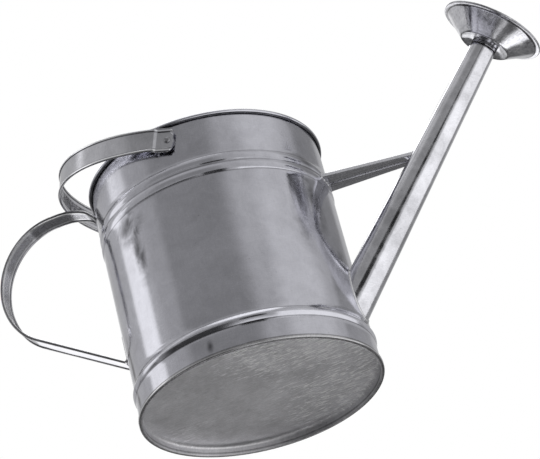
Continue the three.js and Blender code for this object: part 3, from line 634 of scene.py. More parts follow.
def rose_ferrule():
    out = SPOUT_TIP - SHEET - GAP
    inside = out - SHEET
    low = -ROSE_DEPTH
    dish = ROSE_BACK + ROSE_DISH
    edge = ROSE_PLATE - GAP
    thick = SHEET * hypot(1, ROSE_DISH / (edge - ROSE_NECK))
    groove = (low + dish) / 2 - 0.6
    outline = [
        (inside, low - ROSE_GAP - ROSE_SLEEVE),
        (out, low - ROSE_GAP - ROSE_SLEEVE),
        (out, low),
        *arc(ROSE_NECK - NECK_FILLET, low + NECK_FILLET, NECK_FILLET, -90, 0, 4),
        (ROSE_NECK, groove - GROOVE_HALF),
        (ROSE_NECK - GROOVE_DEPTH, groove),
        (ROSE_NECK, groove + GROOVE_HALF),
        *arc(ROSE_NECK + DISH_FILLET, dish - DISH_FILLET, DISH_FILLET, 180, 90, 4),
        *[(ROSE_NECK + 0.5 + (edge - ROSE_NECK - 0.9) * t, dish - (ROSE_DISH - 0.1) * t ** 1.25)
          for t in (0.2, 0.4, 0.6, 0.8, 1.0)],
        (edge, ROSE_BACK + 0.3),
        (edge, ROSE_BACK + thick),
        (ROSE_NECK, dish + thick),
        (inside, dish + thick),
    ]
    return lathe("rose_neck", outline, AROUND_ROSE, rose_place)


def rose_funnel():
    wide = ROSE_RADIUS - ROSE_FLANGE
    slope = ROSE_FUNNEL / (wide - ROSE_PLATE)
    thick = SHEET * hypot(1, slope)
    leaf = ROSE_ROLL - SHEET
    steps = 12
    small = ROSE_BACK
    cone = [(ROSE_PLATE + (wide - ROSE_PLATE) * i / steps, small + ROSE_FUNNEL * i / steps)
            for i in range(1, steps)]
    centre = ROSE_RADIUS - ROSE_ROLL
    outline = [
        (ROSE_PLATE, small + 0.5),
        (ROSE_PLATE + 0.1, small + 0.15),
        (ROSE_PLATE + 0.5, small + 0.3),
        *cone,
        (wide, -ROSE_ROLL),
        *arc(centre, 0, ROSE_ROLL, -90, 90, 12),
        (ROSE_RADIUS - ROSE_LIP, ROSE_ROLL),
        (ROSE_RADIUS - ROSE_LIP, leaf),
        *arc(centre, 0, leaf, 90, -90, 8),
        (wide, -leaf),
        *[(r, z + thick) for r, z in reversed(cone)],
        (ROSE_PLATE, small + thick),
    ]
    return lathe("rose_back", outline, AROUND_ROSE, rose_place)


def rose_face():
    edge = ROSE_RADIUS - SHEET - GAP - 0.2
    dome_edge = ROSE_RADIUS - ROSE_LIP - 1.2
    half = SHEET / 2
    dome = [(s * dome_edge, ROSE_DOME * (1 - s * s)) for s in (i / 16 for i in range(17))]
    outline = [(r, z - half) for r, z in dome] + [(edge, -half), (edge, half)]
    outline += [(r, z + half) for r, z in reversed(dome)]
    face = lathe("rose_front", outline, AROUND_ROSE, rose_place)
    points, faces = [], []
    ring = 0
    while ring * ROSE_PITCH + 2 * ROSE_HOLE < dome_edge:
        for turn in turns(6 * ring or 1):
            centre = around(ring * ROSE_PITCH, turn + ring * ROSE_TWIST)
            base = len(points)
            for height in (-3, 2 * ROSE_DOME):
                points += [rose_place @ (centre + around(ROSE_HOLE, a, height)) for a in turns(HOLE_SIDES)]
            faces += [tuple(base + k for k in f) for f in rings(2, HOLE_SIDES)]
            faces += [tuple(base + end + k for k in range(HOLE_SIDES)) for end in (0, HOLE_SIDES)]
        ring += 1
    return drill(face, [shape("cutter", points, faces)])


# ---- brace

BRACE_TOP = 1.9
BRACE_FALL = tan(radians(5.1))
BRACE_WIDTH = 32.0
BRACE_TIP = 17.0
BRACE_DEPTH = 4.7
BRACE_EDGE = 0.35  # the CAD's is 0.5
BRACE_SLIT = 0.8  # the CAD's is 1
BRACE_LIP = 0.9  # radius at which the seam's lips turn in
BRACE_SLOPE = 14.5  # degrees by which its sides lean in towards the top; the CAD's are upright
BRACE_MIDDLE = 3  # half width of the part round the slit, which doesn't narrow with the brace
BRACE_SAG = 0.12
BRACE_CREASE = 28
BRACE_ROWS = 40
BRACE_SOLDER_WIDTH = 1.2
brace_height = UPPER_BEAD_LOW + BRACE_TOP


def brace_at(distance, across, height):
    """A point of the brace, with its height over the top face."""
    return Vector((WALL_RADIUS + distance, across, brace_height - BRACE_FALL * distance + height))


brace_length = crossing(0.0, 160.0, lambda at: not in_spout(brace_at(at, 0, 0), 0))


def brace_place(distance, y, z):
    """A point of the section at a distance: its sides draw in towards the spout."""
    share = min(max(distance / brace_length, 0), 1.2)
    wide = BRACE_WIDTH + (BRACE_TIP - BRACE_WIDTH) * share
    narrowed = copysign(wide / 2 - (BRACE_WIDTH / 2 - abs(y)), y)
    return brace_at(distance, y if abs(y) < BRACE_MIDDLE else narrowed, z)


def brace_line():
    """Middle line of the folded strip's section, from one lip of the slit round to the other."""
    inset = SHEET / 2
    radius = BRACE_EDGE
    line = arc(BRACE_SLIT / 2 + inset + BRACE_LIP, -BRACE_DEPTH + inset + BRACE_LIP, BRACE_LIP, 190, 270, 6)
    side = BRACE_WIDTH / 2 - inset
    line += arc(side - radius, -BRACE_DEPTH + inset + radius, radius, -90, BRACE_SLOPE, 1)
    top = side - radius - (BRACE_DEPTH - SHEET - 2 * radius) * tan(radians(BRACE_SLOPE))
    line += arc(top, -inset - radius, radius, BRACE_SLOPE, 90, 1)
    return line + [(-y, z) for y, z in reversed(line)]


def brace_outline():
    """The section's outline: its middle line thickened to either side."""
    line = brace_line()
    loops = []
    for side in (1, -1):
        loop = []
        for i, (y, z) in enumerate(line):
            y0, z0 = line[max(i - 1, 0)]
            y1, z1 = line[min(i + 1, len(line) - 1)]
            t = Vector((y1 - y0, z1 - z0)).normalized()
            loop.append((y + side * t.y * SHEET / 2, z - side * t.x * SHEET / 2))
        loops.append(loop)
    return loops[0] + loops[1][::-1]


def brace_ends(y, z):
    """Distances at which one line along the brace leaves the wall and meets the spout."""
    return (crossing(-30.0, 40.0, lambda at: in_wall(brace_place(at, y, z), 0.15)),
            crossing(20.0, brace_length + 25, lambda at: not in_spout(brace_place(at, y, z), JOINT_CLEAR)))


BRACE_OUTLINE = brace_outline()
BRACE_ENDS = [brace_ends(y, z) for y, z in BRACE_OUTLINE]


def brace():
    points = []
    for row in range(BRACE_ROWS + 1):
        for (y, z), (start, end) in zip(BRACE_OUTLINE, BRACE_ENDS):
            distance = start + (end - start) * (row / BRACE_ROWS)
            sag = BRACE_SAG * noise(Vector((distance * 0.05, y * 0.08, 2.0)))
            sag *= min(row, BRACE_ROWS - row, 4) / 4
            points.append(brace_place(distance, y, z + sag))
    count = len(BRACE_OUTLINE)
    faces = rings(BRACE_ROWS + 1, count)
    for base in (0, BRACE_ROWS * count):
        for i in range(count // 2 - 1):
            faces.append((base + i, base + i + 1, base + count - 2 - i, base + count - 1 - i))
    return shape("brace", points, faces, BRACE_CREASE)


def brace_solder(name, end, seed):
    """A thin run of solder round the outside of one end of the brace: 0 at the wall, 1 at the spout."""
    half = len(BRACE_OUTLINE) // 2
    centre = brace_place(BRACE_ENDS[0][end], 0, -BRACE_DEPTH / 2)
    path = [brace_place(BRACE_ENDS[i][end], *BRACE_OUTLINE[i]) for i in range(half)]
    even_path = []
    for a, b in zip(path, path[1:]):
        steps = max(int((b - a).length / 0.8), 1)
        even_path += [a.lerp(b, s / steps) for s in range(steps)]
    even_path.append(path[-1])
    lean = Vector((-0.5 if end else 0.5, 0, 0))
    away = []
    for p in even_path:
        out = p - centre
        away.append((Vector((0.0, out.y * 0.25, out.z)).normalized() + lean).normalized())
    return bead_along(name, even_path, away, BRACE_SOLDER_WIDTH, SOLDER_HEIGHT, seed, sides=8, uneven=0.5)


# ---- straps

ROLL_RADIUS = 1.4
HEM_WIDTH = 4.2
HEM_RISE = 0.85
END_SPREAD = 0.9
PRESS_LENGTH = 9.0
FLARE_LENGTH = 40.0
STRAP_STEPS = 18


def resample(line, count):
    """The same line as `count` evenly spaced points."""
    lengths = [0.0]
    for (x0, y0), (x1, y1) in zip(line, line[1:]):
        lengths.append(lengths[-1] + hypot(x1 - x0, y1 - y0))
    result, k = [], 0
    for i in range(count):
        want = lengths[-1] * i / (count - 1)
        while k < len(line) - 2 and lengths[k + 1] < want:
            k += 1
        share = (want - lengths[k]) / max(lengths[k + 1] - lengths[k], 1e-9)
        (x0, y0), (x1, y1) = line[k], line[k + 1]
        result.append((x0 + (x1 - x0) * share, y0 + (y1 - y0) * share))
    return result


def strap_outline(width, pressed, side):
    """Section of a strap: x across the sheet, y along its width. Its rolled edges are hammered flat,
    on the side given by `side`, where pressed is 1."""
    half = SHEET / 2
    wide = width / 2
    meet = degrees(acos(half / ROLL_RADIUS))
    rolled = arc(0, wide - ROLL_RADIUS, ROLL_RADIUS, -meet, 180 + meet, STRAP_STEPS)
    edge = wide + END_SPREAD
    inner = edge - HEM_WIDTH
    rise = half + HEM_RISE
    flat = [
        (half, inner - 0.1),
        (rise - 0.25, inner),
        (rise, inner + 0.3),
        (rise, edge - 0.8),
        (rise - 0.25, edge - 0.25),
        (rise * 0.4, edge),
        (-half * 0.3, edge - 0.05),
        (-half, edge - 0.5),
        (-half, inner - 0.1),
    ]
    if side < 0:
        flat = [(-x, y) for x, y in reversed(flat)]
    flat = resample(flat, len(rolled))
    blend = eased(pressed)
    top = [(x0 + (x1 - x0) * blend, y0 + (y1 - y0) * blend)
           for (x0, y0), (x1, y1) in zip(rolled, flat)]
    web = [(half, y) for y in (wide * 0.5, 0.0, -wide * 0.5)]
    bottom = [(x, -y) for x, y in reversed(top)]
    back = [(-x, -y) for x, y in web]
    return top + back + bottom + web[::-1]


def swept_strap(name, line, width, first, second, side, narrow, pressed_for, flare, place):
    """Sweep a strap along a flat line, whose plane is spanned by first and second. The corners of its
    ends are cut over the length `narrow`; away from its ends it leans by the angle `flare`."""
    across = first.cross(second)
    lengths = [0.0]
    for a, b in zip(line, line[1:]):
        lengths.append(lengths[-1] + (b - a).length)
    total = lengths[-1]
    points = []
    for i, (point, at) in enumerate(zip(line, lengths)):
        before, after = line[max(i - 1, 0)], line[min(i + 1, len(line) - 1)]
        travel = (after - before).normalized()
        from_end = min(at, total - at)
        pressed = 1 - clamp((from_end - pressed_for) / PRESS_LENGTH)
        cut = max(narrow - from_end, 0)
        outline = strap_outline(width - 2 * cut, pressed, side)
        count = len(outline)
        origin = first * point.x + second * point.y
        lean = flare * clamp((from_end - pressed_for) / FLARE_LENGTH)
        out = first * travel.y - second * travel.x
        normal = out * cos(lean) + across * sin(lean)
        up = out * sin(lean) - across * cos(lean)
        points += [place @ (origin + normal * x + up * y) for x, y in outline]
    faces = rings(len(line), count)
    last = (len(line) - 1) * count
    faces += [tuple(reversed(range(count))), tuple(last + i for i in range(count))]
    return shape(name, points, faces, STRAP_CREASE)


def spline(knots, steps):
    """Uniform Catmull-Rom curve through the knots, as 2D vectors."""
    result = []
    last = len(knots) - 1
    for i in range(last):
        p0, p1, p2 = knots[max(i - 1, 0)], knots[i], knots[i + 1]
        p3 = knots[min(i + 2, last)]
        for k in range(steps):
            t = k / steps
            result.append(0.5 * ((2 * p1) + (p2 - p0) * t + (2 * p0 - 5 * p1 + 4 * p2 - p3) * t * t
                                 + (3 * p1 - p0 - 3 * p2 + p3) * t ** 3))
    result.append(knots[-1])
    return result


def even(line, spacing):
    """The same 2D line with its points evenly spaced."""
    flat = [(p.x, p.y) for p in line]
    total = sum(hypot(b[0] - a[0], b[1] - a[1]) for a, b in zip(flat, flat[1:]))
    return [Vector(p) for p in resample(flat, max(int(total / spacing), 2))]


# ---- back handle

HANDLE_WIDTH = 23.0
HANDLE_RADIUS = 60.2  # the CAD's is 60.4; the rounder piece has to stay in its box
HANDLE_HALF_HEIGHT = 65.8
HANDLE_LEAN = 0.058
HANDLE_CENTRE = Vector((-WALL_RADIUS - 50.9, CAN_HEIGHT - 52.9))
HANDLE_FOOT = 83.8
HANDLE_TAB = 27.0
HANDLE_FOLD = 3.0
HANDLE_TAB_TOP = CAN_HEIGHT - 14.0
HANDLE_RIVET_PITCH = 13.0
TAB_CORNER = 5.0
UPPER_TAB_X = -NECK_RADIUS - GAP - SHEET / 2
LOWER_TAB_X = -WALL_RADIUS - GAP - SHEET / 2


def handle_line():
    tall = HANDLE_HALF_HEIGHT / HANDLE_RADIUS
    c = HANDLE_CENTRE

    def stretched(x, y):
        rise = tall * (y - c.y)
        return Vector((x + HANDLE_LEAN * rise, c.y + rise))

    fold = Vector((LOWER_TAB_X - HANDLE_FOLD + HANDLE_LEAN * (c.y - HANDLE_FOOT),
                   c.y - (c.y - HANDLE_FOOT) / tall))
    between = fold - c
    lean = acos((HANDLE_RADIUS - HANDLE_FOLD) / between.length)
    leave = degrees(atan2(between.y, between.x) % (2 * pi) - lean)
    rim_side = CURL_CENTRE_RADIUS + CURL_RADIUS + GAP + ROLL_RADIUS
    top = c.y + HANDLE_HALF_HEIGHT
    out_of_tab = spline([
        Vector((UPPER_TAB_X, HANDLE_TAB_TOP)),
        Vector((UPPER_TAB_X - 0.9, HANDLE_TAB_TOP + 5)),
        Vector((-rim_side - 0.8, CURL_CENTRE)),
        Vector((-rim_side - 9, CAN_HEIGHT + 6)),
        Vector((-rim_side - 26, top - 0.8)),
        Vector((c.x + HANDLE_LEAN * HANDLE_HALF_HEIGHT, top)),
    ], 12)
    round_back = [stretched(x, y) for x, y in arc(c.x, c.y, HANDLE_RADIUS, 90, leave, 60)]
    turn = [stretched(x, y) for x, y in arc(fold.x, fold.y, HANDLE_FOLD, leave, 360, 8)]
    start = [Vector((UPPER_TAB_X, HANDLE_TAB_TOP - HANDLE_TAB + s)) for s in (0, 2.5, 5, 12, 20)]
    end = [Vector((LOWER_TAB_X, HANDLE_FOOT + s)) for s in (6, 12, 18, HANDLE_TAB - 5, HANDLE_TAB - 2.5,
                                                           HANDLE_TAB)]
    return start + even(out_of_tab + round_back[1:], 2.2) + turn[1:] + end


def handle_rivets():
    to_tab = (HANDLE_TAB - HANDLE_RIVET_PITCH) / 2
    upper = HANDLE_TAB_TOP - to_tab
    lower = HANDLE_FOOT + to_tab + 1
    return [(upper, UPPER_TAB_X), (upper - HANDLE_RIVET_PITCH, UPPER_TAB_X),
            (lower, LOWER_TAB_X), (lower + HANDLE_RIVET_PITCH, LOWER_TAB_X)]


# ---- bail

BAIL_WIDTH = 23.0
BAIL_FLARE = radians(5.5)
BAIL_REACH = 149.5
BAIL_HALF_SPAN = 118.55  # the CAD's is 118.6, and the same goes for it
BAIL_TAB = 9.6
BAIL_TOE = 5.8
BAIL_CORNER = 3.4
BAIL_JOGGLE = 4.4
BAIL_STAND_OFF = 3.4
BAIL_STEPS = 300
TAB_FACE = NECK_RADIUS + BAIL_STAND_OFF
hinge = next(j for j in frame["joints"] if j["name"] == "bail_swing")
PIVOT_HEIGHT = hinge["pos_m"][2] / MM


def bail_tilt():
    """The bail's tilt at rest, from how high the top of its far end is over the pivot."""
    _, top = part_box("bail_strap")
    rise = top.z / MM - PIVOT_HEIGHT - ROLL_RADIUS
    edge = BAIL_WIDTH / 2 - ROLL_RADIUS
    out, up = BAIL_REACH + edge * sin(BAIL_FLARE), edge * cos(BAIL_FLARE)
    return asin(rise / hypot(out, up)) - atan2(up, out)


def bail_line():
    mid = TAB_FACE + SHEET / 2
    joggle_end = BAIL_TAB + BAIL_JOGGLE
    start = degrees(acos(joggle_end / BAIL_REACH))
    arch = []
    for i in range(BAIL_STEPS + 1):
        turn = radians(-start + 2 * start * i / BAIL_STEPS)
        arch.append(Vector((BAIL_REACH * cos(turn), BAIL_HALF_SPAN * sin(turn))))
    end = [Vector((-BAIL_TOE + s, -mid)) for s in (0, 1.7, 3.4, 8, 12)] + [Vector((BAIL_TAB, -mid))]
    # the joggle: an S between the flat end and the arch
    a, b = end[-1], arch[0]
    s_bend = [Vector((a.x + (b.x - a.x) * t, a.y + (b.y - a.y) * eased(t)))
              for t in (i / 9 for i in range(1, 9))]
    first = end + s_bend
    last = [Vector((p.x, -p.y)) for p in reversed(first)]
    return first + even(arch, 1.8) + last


# ---- rivets

RIVET_SHANK = 1.9
RIVET_HEAD = 3.2
RIVET_RISE = 1.5
AROUND_RIVET = 40
WASHER_RADIUS = 6.0
AROUND_WASHER = 48
BURR_RADIUS = 5.0
BURR_THICKNESS = 1.0


def rivet(name, grip, place):
    """A domed rivet: its head sits above z = 0 of `place`, its tail below z = -grip."""
    tail = RIVET_HEAD - 0.4
    low = -grip - 0.9
    dome = []
    for i in range(9):
        t = radians(90 * i / 8)
        dome.append((RIVET_HEAD * cos(t) ** 0.9 if i < 8 else 0.0, RIVET_RISE * sin(t)))
    outline = [
        (0, low), (tail - 0.7, low), (tail - 0.2, low + 0.2), (tail, low + 0.5), (tail, -grip),
        (RIVET_SHANK, -grip), (RIVET_SHANK, 0), *dome,
    ]
    return lathe(name, outline, AROUND_RIVET, place)


def washer(name, radius, thickness, place):
    bore = RIVET_SHANK + GAP
    e = 0.25
    outline = [
        (bore, 0), (radius - e, 0), (radius, e), (radius, thickness - e), (radius - e, thickness),
        (bore, thickness),
    ]
    return lathe(name, outline, AROUND_WASHER, place)


# ---- finishes

# Base colours, fitted to the photo piece by piece.
ZINC = (0.62, 0.62, 0.675)
PALE_ZINC = (0.72, 0.72, 0.76)
STRAP_ZINC = (0.66, 0.66, 0.70)
BRACE_ZINC = (0.68, 0.68, 0.72)
HANDLE_ZINC = (0.78, 0.78, 0.82)
DULL_ZINC = (0.78, 0.775, 0.80)
RIVET_STEEL = (0.37, 0.37, 0.39)
SOLDER = (0.66, 0.66, 0.68)
# Painted dark reflections of nearby parts on the wall: (azimuth, height, half width, half height,
# strength).
WALL_DARK_REFLECTIONS = [
    (-122, 165, 19, 16, 0.78), (-119.5, 138, 8, 33, 0.8), (-149, 14, 6, 11, 0.8),
    (-94, 12, 4, 8, 0.75), (-150, 44, 5, 34, 0.85), (-22, 150, 11, 32, 0.62),
    (-12, 88, 9, 16, 0.5), (-34, 122, 13, 30, 0.3), (-21, 196, 9, 7, 0.45),
]
# Painted shade in the wall's creases: over the pan's hem, beside the beads and under the rim's curl.
WALL_SHADE_LINES = [
    (HEM_HEIGHT + 0.6, 0.9, 0.6),
    (FOOT_BEAD_BOTTOM - 0.2, 0.9, 0.5),
    (FOOT_BEAD_TOP, 0.8, 0.3),
    (LOWER_BEAD_LOW, 0.8, 0.35),
    (UPPER_BEAD_LOW - BEAD_GAP / 2, 1.1, 0.3),
    (UPPER_BEAD_TOP, 0.7, 0.3),
    (CURL_CENTRE - CURL_RADIUS, 1.1, 0.7),
]
# Painted shade round the pan's hem.
PAN_SHADE_LINES = [(0.0, 0.7, 0.3), (2.9, 1.2, 0.35)]
# Painted shade along the brace's underside, beside its slit.
BRACE_SHADE_LINES = [(1.9, 1.2, 0.5), (6.0, 0.6, 0.3)]
# Painted shade in the gap between the spout and the rose, round the rose's neck and along its roll.
ROSE_SHADE_LINES = [
    (ROSE_DEPTH + ROSE_GAP / 2, 1.2, 0.96),
    (ROSE_DEPTH - 2.2, 2.6, 0.3),
    (ROSE_DEPTH - 3.2, 0.5, 0.4),
    (ROSE_ROLL + 0.5, 0.55, 0.7),
    (0.0, 0.7, 0.45),
]
# Painted shade along both sides of each strap's rolled edge, and a painted highlight along the roll's top.
STRAP_SHADE_AND_HIGHLIGHT_LINES = [
    (BAIL_WIDTH / 2 - 2 * ROLL_RADIUS, 0.5, 0.65),
    (BAIL_WIDTH / 2 - ROLL_RADIUS, 0.9, -0.5),
    (BAIL_WIDTH / 2, 0.7, 0.65),
]
rose_from = rose_place.translation * MM + X * AXIS_X
spout_axis = (rose_place.to_3x3() @ Z).normalized()
tilt = bail_tilt()
bail_from = Vector((AXIS_X, 0, PIVOT_HEIGHT * MM))
bail_axis = Matrix.Rotation(tilt, 3, "Y") @ Z

# The wall's finish has painted dark reflections, and painted shade in its creases.
wall_finish = galvanised(
    "galvanised_wall", ZINC, 0.13, streak=0.05, dull=0.05, speck=0.2, dark_reflections=WALL_DARK_REFLECTIONS,
    shade_and_highlight_lines=WALL_SHADE_LINES, dull_above=(UPPER_BEAD_TOP + 4) * MM)
pan_finish = galvanised(
    "galvanised_pan", DULL_ZINC, 0.42, grain=(1, 4, 1), streak=0.08, dull=0.06, speck=0.25, bump=0.2,
    cloudy=0.06, wave=0.3, scratch_and_sheen=0.8, shade_and_highlight_lines=PAN_SHADE_LINES, keen_beyond=(FOOT_RADIUS + 1.2) * MM)
spout_finish = galvanised(
    "galvanised_spout", PALE_ZINC, 0.14, streak=0.08, dull=0.12, speck=0.35, bump=0.25, cloudy=0.4)
brace_finish = galvanised(
    "galvanised_brace", BRACE_ZINC, 0.14, grain=(1, 6, 6), streak=0.12, speck=0.2,
    shade_and_highlight_lines=BRACE_SHADE_LINES, shade_axis=Y)
rivet_finish = galvanised("rivet_steel", RIVET_STEEL, 0.28, speck=0.3)
solder_finish = galvanised("solder", SOLDER, 0.28, dull=0.08, bump=0.8)
rose_finish = galvanised(
    "galvanised_rose", PALE_ZINC, 0.15, streak=0.26, dull=0.16, speck=0.4, bump=0.4, cloudy=0.4,
    shade_and_highlight_lines=ROSE_SHADE_LINES, shade_from=rose_from, shade_axis=spout_axis)
STRAP_LOOK = {"streak": 0.07, "dull": 0.06, "speck": 0.2, "shade_and_highlight_lines": STRAP_SHADE_AND_HIGHLIGHT_LINES}
strap_finish = galvanised("galvanised_strap", STRAP_ZINC, 0.13, **STRAP_LOOK, shade_from=bail_from,
                          shade_axis=bail_axis)
handle_finish = galvanised("galvanised_handle", HANDLE_ZINC, 0.13, **STRAP_LOOK, shade_axis=Y)

# ---- assembly

piece(body_wall(), wall_finish, "can", "galvanised_sheet", "body_wall", "rim_wire")
piece(bottom_pan(), pan_finish, "can", "galvanised_bottom", "bottom_pan")
piece(spout_tube(), spout_finish, "can", "galvanised_spout", "spout_tube")
piece(spout_solder(), solder_finish, "can", "solder", "spout_solder")
piece(brace(), brace_finish, "can", "galvanised_strap", "brace_strip")
piece(brace_solder("brace_solder_at_can", 0, 11.0), solder_finish, "can", "solder", "brace_solder_can")
piece(brace_solder("brace_solder_at_spout", 1, 17.0), solder_finish, "can", "solder", "brace_solder_spout")
for obj, node in ((rose_ferrule(), "rose_ferrule"), (rose_funnel(), "rose_funnel"),
                  (rose_face(), "rose_face")):
    piece(obj, rose_finish, "rose", "galvanised_rose", node)

handle = swept_strap("handle", handle_line(), HANDLE_WIDTH, X, Z, side=-1, narrow=TAB_CORNER,
                     pressed_for=HANDLE_TAB, flare=0.0, place=Matrix.Identity(4))
piece(handle, handle_finish, "can", "galvanised_strap", "back_handle")
for number, (height, tab_x) in enumerate(handle_rivets(), 1):
    place = Matrix.Translation((tab_x - SHEET / 2 - GAP, 0, height))
    place = place @ Matrix.Rotation(-pi / 2, 4, "Y")
    made = rivet(f"handle_rivet_head_{number}", 2 * SHEET + 3 * GAP, place)
    piece(made, rivet_finish, "can", "rivet_steel", f"handle_rivet_{number}")

bail_place = lifted(PIVOT_HEIGHT) @ Matrix.Rotation(tilt, 4, "Y")
bail = swept_strap("bail", bail_line(), BAIL_WIDTH, -X, Y, side=1, narrow=BAIL_CORNER,
                   pressed_for=BAIL_TOE + BAIL_TAB + 1, flare=BAIL_FLARE, place=bail_place)
holes = [rod(RIVET_SHANK + GAP, (0, s * (TAB_FACE - 6), PIVOT_HEIGHT),
             (0, s * (TAB_FACE + 6), PIVOT_HEIGHT)) for s in (-1, 1)]
piece(drill(bail, holes), strap_finish, "bail", "galvanised_strap", "bail_strap")

inside = NECK_RADIUS - SHEET
burr_top = sqrt(inside ** 2 - BURR_RADIUS ** 2) - GAP
head = TAB_FACE + SHEET + GAP
for side, label in ((-1, "right"), (1, "left")):
    end = lifted(PIVOT_HEIGHT) @ Matrix.Rotation(-side * pi / 2, 4, "X")
    spacer = washer(f"pivot_washer_{label}", WASHER_RADIUS, BAIL_STAND_OFF - 2 * GAP,
                    end @ lifted(NECK_RADIUS + GAP))
    burr = washer(f"pivot_burr_{label}", BURR_RADIUS, BURR_THICKNESS,
                  end @ lifted(burr_top - BURR_THICKNESS))
    pin = rivet(f"pivot_rivet_{label}", head - burr_top + BURR_THICKNESS + GAP, end @ lifted(head))
    for obj, node in ((spacer, "washer"), (burr, "burr"), (pin, "rivet")):
        piece(obj, rivet_finish, "can", "rivet_steel", f"bail_{node}_{label}")

# ---- studio

low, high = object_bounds()
MIDDLE = (low + high) / 2
TENT = 3.2
CARD_STEP = 0.02
CARD_FACET = 3.0  # degrees: small enough that no card's facet dips behind the next card
STEEPEST = 89


def direction(azimuth, elevation):
    """A unit vector, with its angles in degrees."""
    a, e = radians(azimuth), radians(elevation)
    return Vector((cos(a) * cos(e), sin(a) * cos(e), sin(e)))


def aimed(name, data, place, back, roll=0.0):
    """A lamp or a camera at a place, looking against the direction `back`."""
    obj = linked(name, data)
    obj.location = place
    obj.rotation_mode = "QUATERNION"
    obj.rotation_quaternion = (-back).to_track_quat("-Z", "Y") @ Quaternion(Z, roll)
    return obj


def stage(name, mesh, *unseen_by):
    """A stage object, which the given kinds of ray pass by."""
    obj = linked(name, mesh)
    for ray in unseen_by:
        setattr(obj, f"visible_{ray}", False)
    return obj


def emission(name, level):
    """A plain glow, which thins out where the mesh's "edge" value falls to 0."""
    material, g = new_material(name)
    material.cycles.emission_sampling = "NONE"
    glow = g.add("Emission", {"Color": (level, level, level, 1.0), "Strength": 1.0})
    edge = g.add("Attribute", attribute_name="edge").outputs["Fac"]
    clear = g.add("BsdfTransparent")
    surface = g.add("MixShader", {0: g.fit(edge, 0, 1, 0, 1), 1: clear.outputs[0], 2: glow.outputs[0]})
    g.add("OutputMaterial", {"Surface": surface.outputs[0]})
    return material


cards = []


def card(name, azimuth, elevation, wide, tall, level, soft, soft_sides=None):
    """A grey studio card round the can, seen only in its reflections, in front of the cards before it.
    Half sizes are in degrees, and so is the fade of its edges."""
    name = f"card_{name}"
    radius = TENT - CARD_STEP * len(cards)
    columns, lines = (max(round(2 * span / CARD_FACET), 4) for span in (wide, tall))
    points, faces, edges = [], [], []
    for j in range(lines + 1):
        for i in range(columns + 1):
            u, v = 2 * i / columns - 1, 2 * j / lines - 1
            way = direction(azimuth + wide * u, min(max(elevation + tall * v, -STEEPEST), STEEPEST))
            points.append(MIDDLE + radius * way)
            edges.append(min(wide * (1 - abs(u)) / (soft_sides or soft), tall * (1 - abs(v)) / soft, 1.0))
    for j in range(lines):
        for i in range(columns):
            k = j * (columns + 1) + i
            faces.append((k, k + 1, k + columns + 2, k + columns + 1))
    mesh = bpy.data.meshes.new(name)
    mesh.from_pydata(points, [], faces)
    layer = mesh.attributes.new("edge", "FLOAT", "POINT")
    layer.data.foreach_set("value", edges)
    mesh.materials.append(emission(name, level))
    cards.append(stage(name, mesh, "camera", "diffuse", "shadow", "transmission"))


card("under", 0, -66, 181, 24, 0.13, 8)
card("under_front", -95, -62, 34, 11, 0.8, 8)
card("under_back", 106, -57, 32, 13, 1.35, 7)
card("round", 0, 35, 181, 56, 0.5, 10)
card("top", 0, 80.5, 181, 10.5, 1.35, 5)
card("front", -100, 28, 48, 30, 0.285, 20)
card("right", -12, 34, 34, 34, 0.66, 20)
card("spout_side", 48, 36, 26, 18, 0.27, 9)
card("left", -143, 34, 15, 36, 0.42, 12)
card("far_left", -174, 15.5, 14, 18, 1.15, 4)
card("back_left", 146, 34, 18, 36, 0.5, 16)
card("back", 107, 42, 22, 28, 0.85, 12)
card("side_low", 60, -22, 24, 30, 0.3, 8)
card("left_low", -178, -24, 18, 28, 0.2, 8)
card("front_low", -122, -22, 52, 31, 0.05, 10, soft_sides=30)
card("back_low", 124, -22, 46, 28, 0.14, 6)
card("back_strip", 119, -3, 19, 13, 1.2, 3)
card("right_low", -6, -12, 46, 22, 1.05, 7)
card("front_strip", -69, 2, 13, 11, 0.03, 4)

KEY_DISTANCE = 2.6
key_way = direction(112, 48)
lamp = bpy.data.lights.new("key", "AREA")
lamp.shape = "DISK"
lamp.size = 1.3
lamp.energy = 7
aimed("key", lamp, MIDDLE + key_way * KEY_DISTANCE, key_way)

world = bpy.data.worlds.new("studio")
bpy.context.scene.world = world
world.use_nodes = True
g = Graph(world.node_tree)
path = g.add("LightPath")
seen = g.math("MAXIMUM", path.outputs["Is Camera Ray"], path.outputs["Is Glossy Ray"])
seen = g.math("MAXIMUM", seen, path.outputs["Is Transmission Ray"])
soft_light = g.add("Background", {"Color": (1, 1, 1, 1), "Strength": 0.75})
white = g.add("Background", {"Color": (1, 1, 1, 1), "Strength": 1.0})
mixed = g.add("MixShader", {0: seen, 1: soft_light.outputs[0], 2: white.outputs[0]})
g.add("OutputWorld", {"Surface": mixed.outputs[0]})


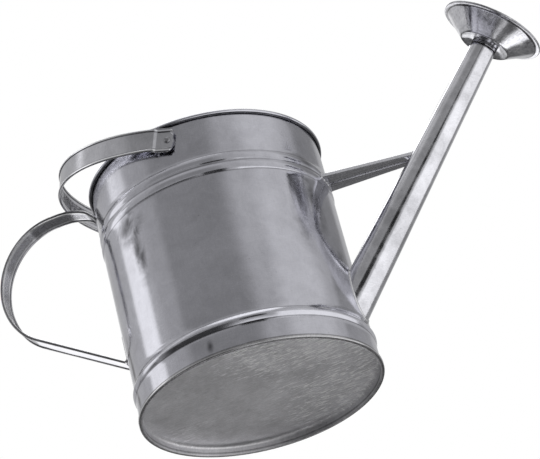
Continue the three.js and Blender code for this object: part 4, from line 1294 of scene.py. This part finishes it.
FLOOR_REACH = 6.0
FLOOR_DROP = 0.0005
FLOOR_SIDES = 48
FLOOR_GREYS = (0.878, 0.886)


def studio_floor():
    """A pale floor under the can. It is seen only from above, and fades into the white background."""
    points = [Vector((0, 0, 0))]
    for share in (0.25, 0.5, 1):
        points += [around(FLOOR_REACH * share, turn) for turn in turns(FLOOR_SIDES)]
    faces = [(0, 1 + i, 1 + (i + 1) % FLOOR_SIDES) for i in range(FLOOR_SIDES)]
    faces += [tuple(1 + k for k in reversed(f)) for f in rings(3, FLOOR_SIDES)]
    mesh = bpy.data.meshes.new("floor")
    mesh.from_pydata(points, [], faces)
    material, g = new_material("floor")
    place = g.add("TexCoord").outputs["Object"]
    distance = g.vector("LENGTH", place)
    pale = g.fit(g.noise(place, 40, 4), 0.3, 0.7, *FLOOR_GREYS)
    tint = g.add("CombineColor", {0: pale, 1: pale, 2: pale}).outputs[0]
    matt = g.add("BsdfDiffuse", {"Color": tint, "Roughness": 0.6})
    clear = g.add("BsdfTransparent")
    back = g.add("NewGeometry").outputs["Backfacing"]
    away = g.fit(distance, FLOOR_REACH * 0.35, FLOOR_REACH * 0.95, 0.0, 1.0)
    hidden = g.math("MAXIMUM", back, away)
    mix = g.add("MixShader", {0: hidden, 1: matt.outputs[0], 2: clear.outputs[0]})
    g.add("OutputMaterial", {"Surface": mix.outputs[0]})
    mesh.materials.append(material)
    stage("floor", mesh, "diffuse", "glossy", "shadow").location.z = -FLOOR_DROP


studio_floor()

# ---- camera

CAMERA_PLACE = Vector((0.36030, -1.83114, -0.87028))
CAMERA_AZIMUTH = -78.52
CAMERA_ELEVATION = -28.99
CAMERA_ROLL = radians(-15.12)
lens = bpy.data.cameras.new("camera")
lens.lens = 150.15
lens.sensor_width = 36.0
lens.clip_end = 50.0
camera = aimed("camera", lens, CAMERA_PLACE, direction(CAMERA_AZIMUTH, CAMERA_ELEVATION), CAMERA_ROLL)
bpy.context.scene.camera = camera
bpy.context.scene.view_settings.view_transform = "Standard"
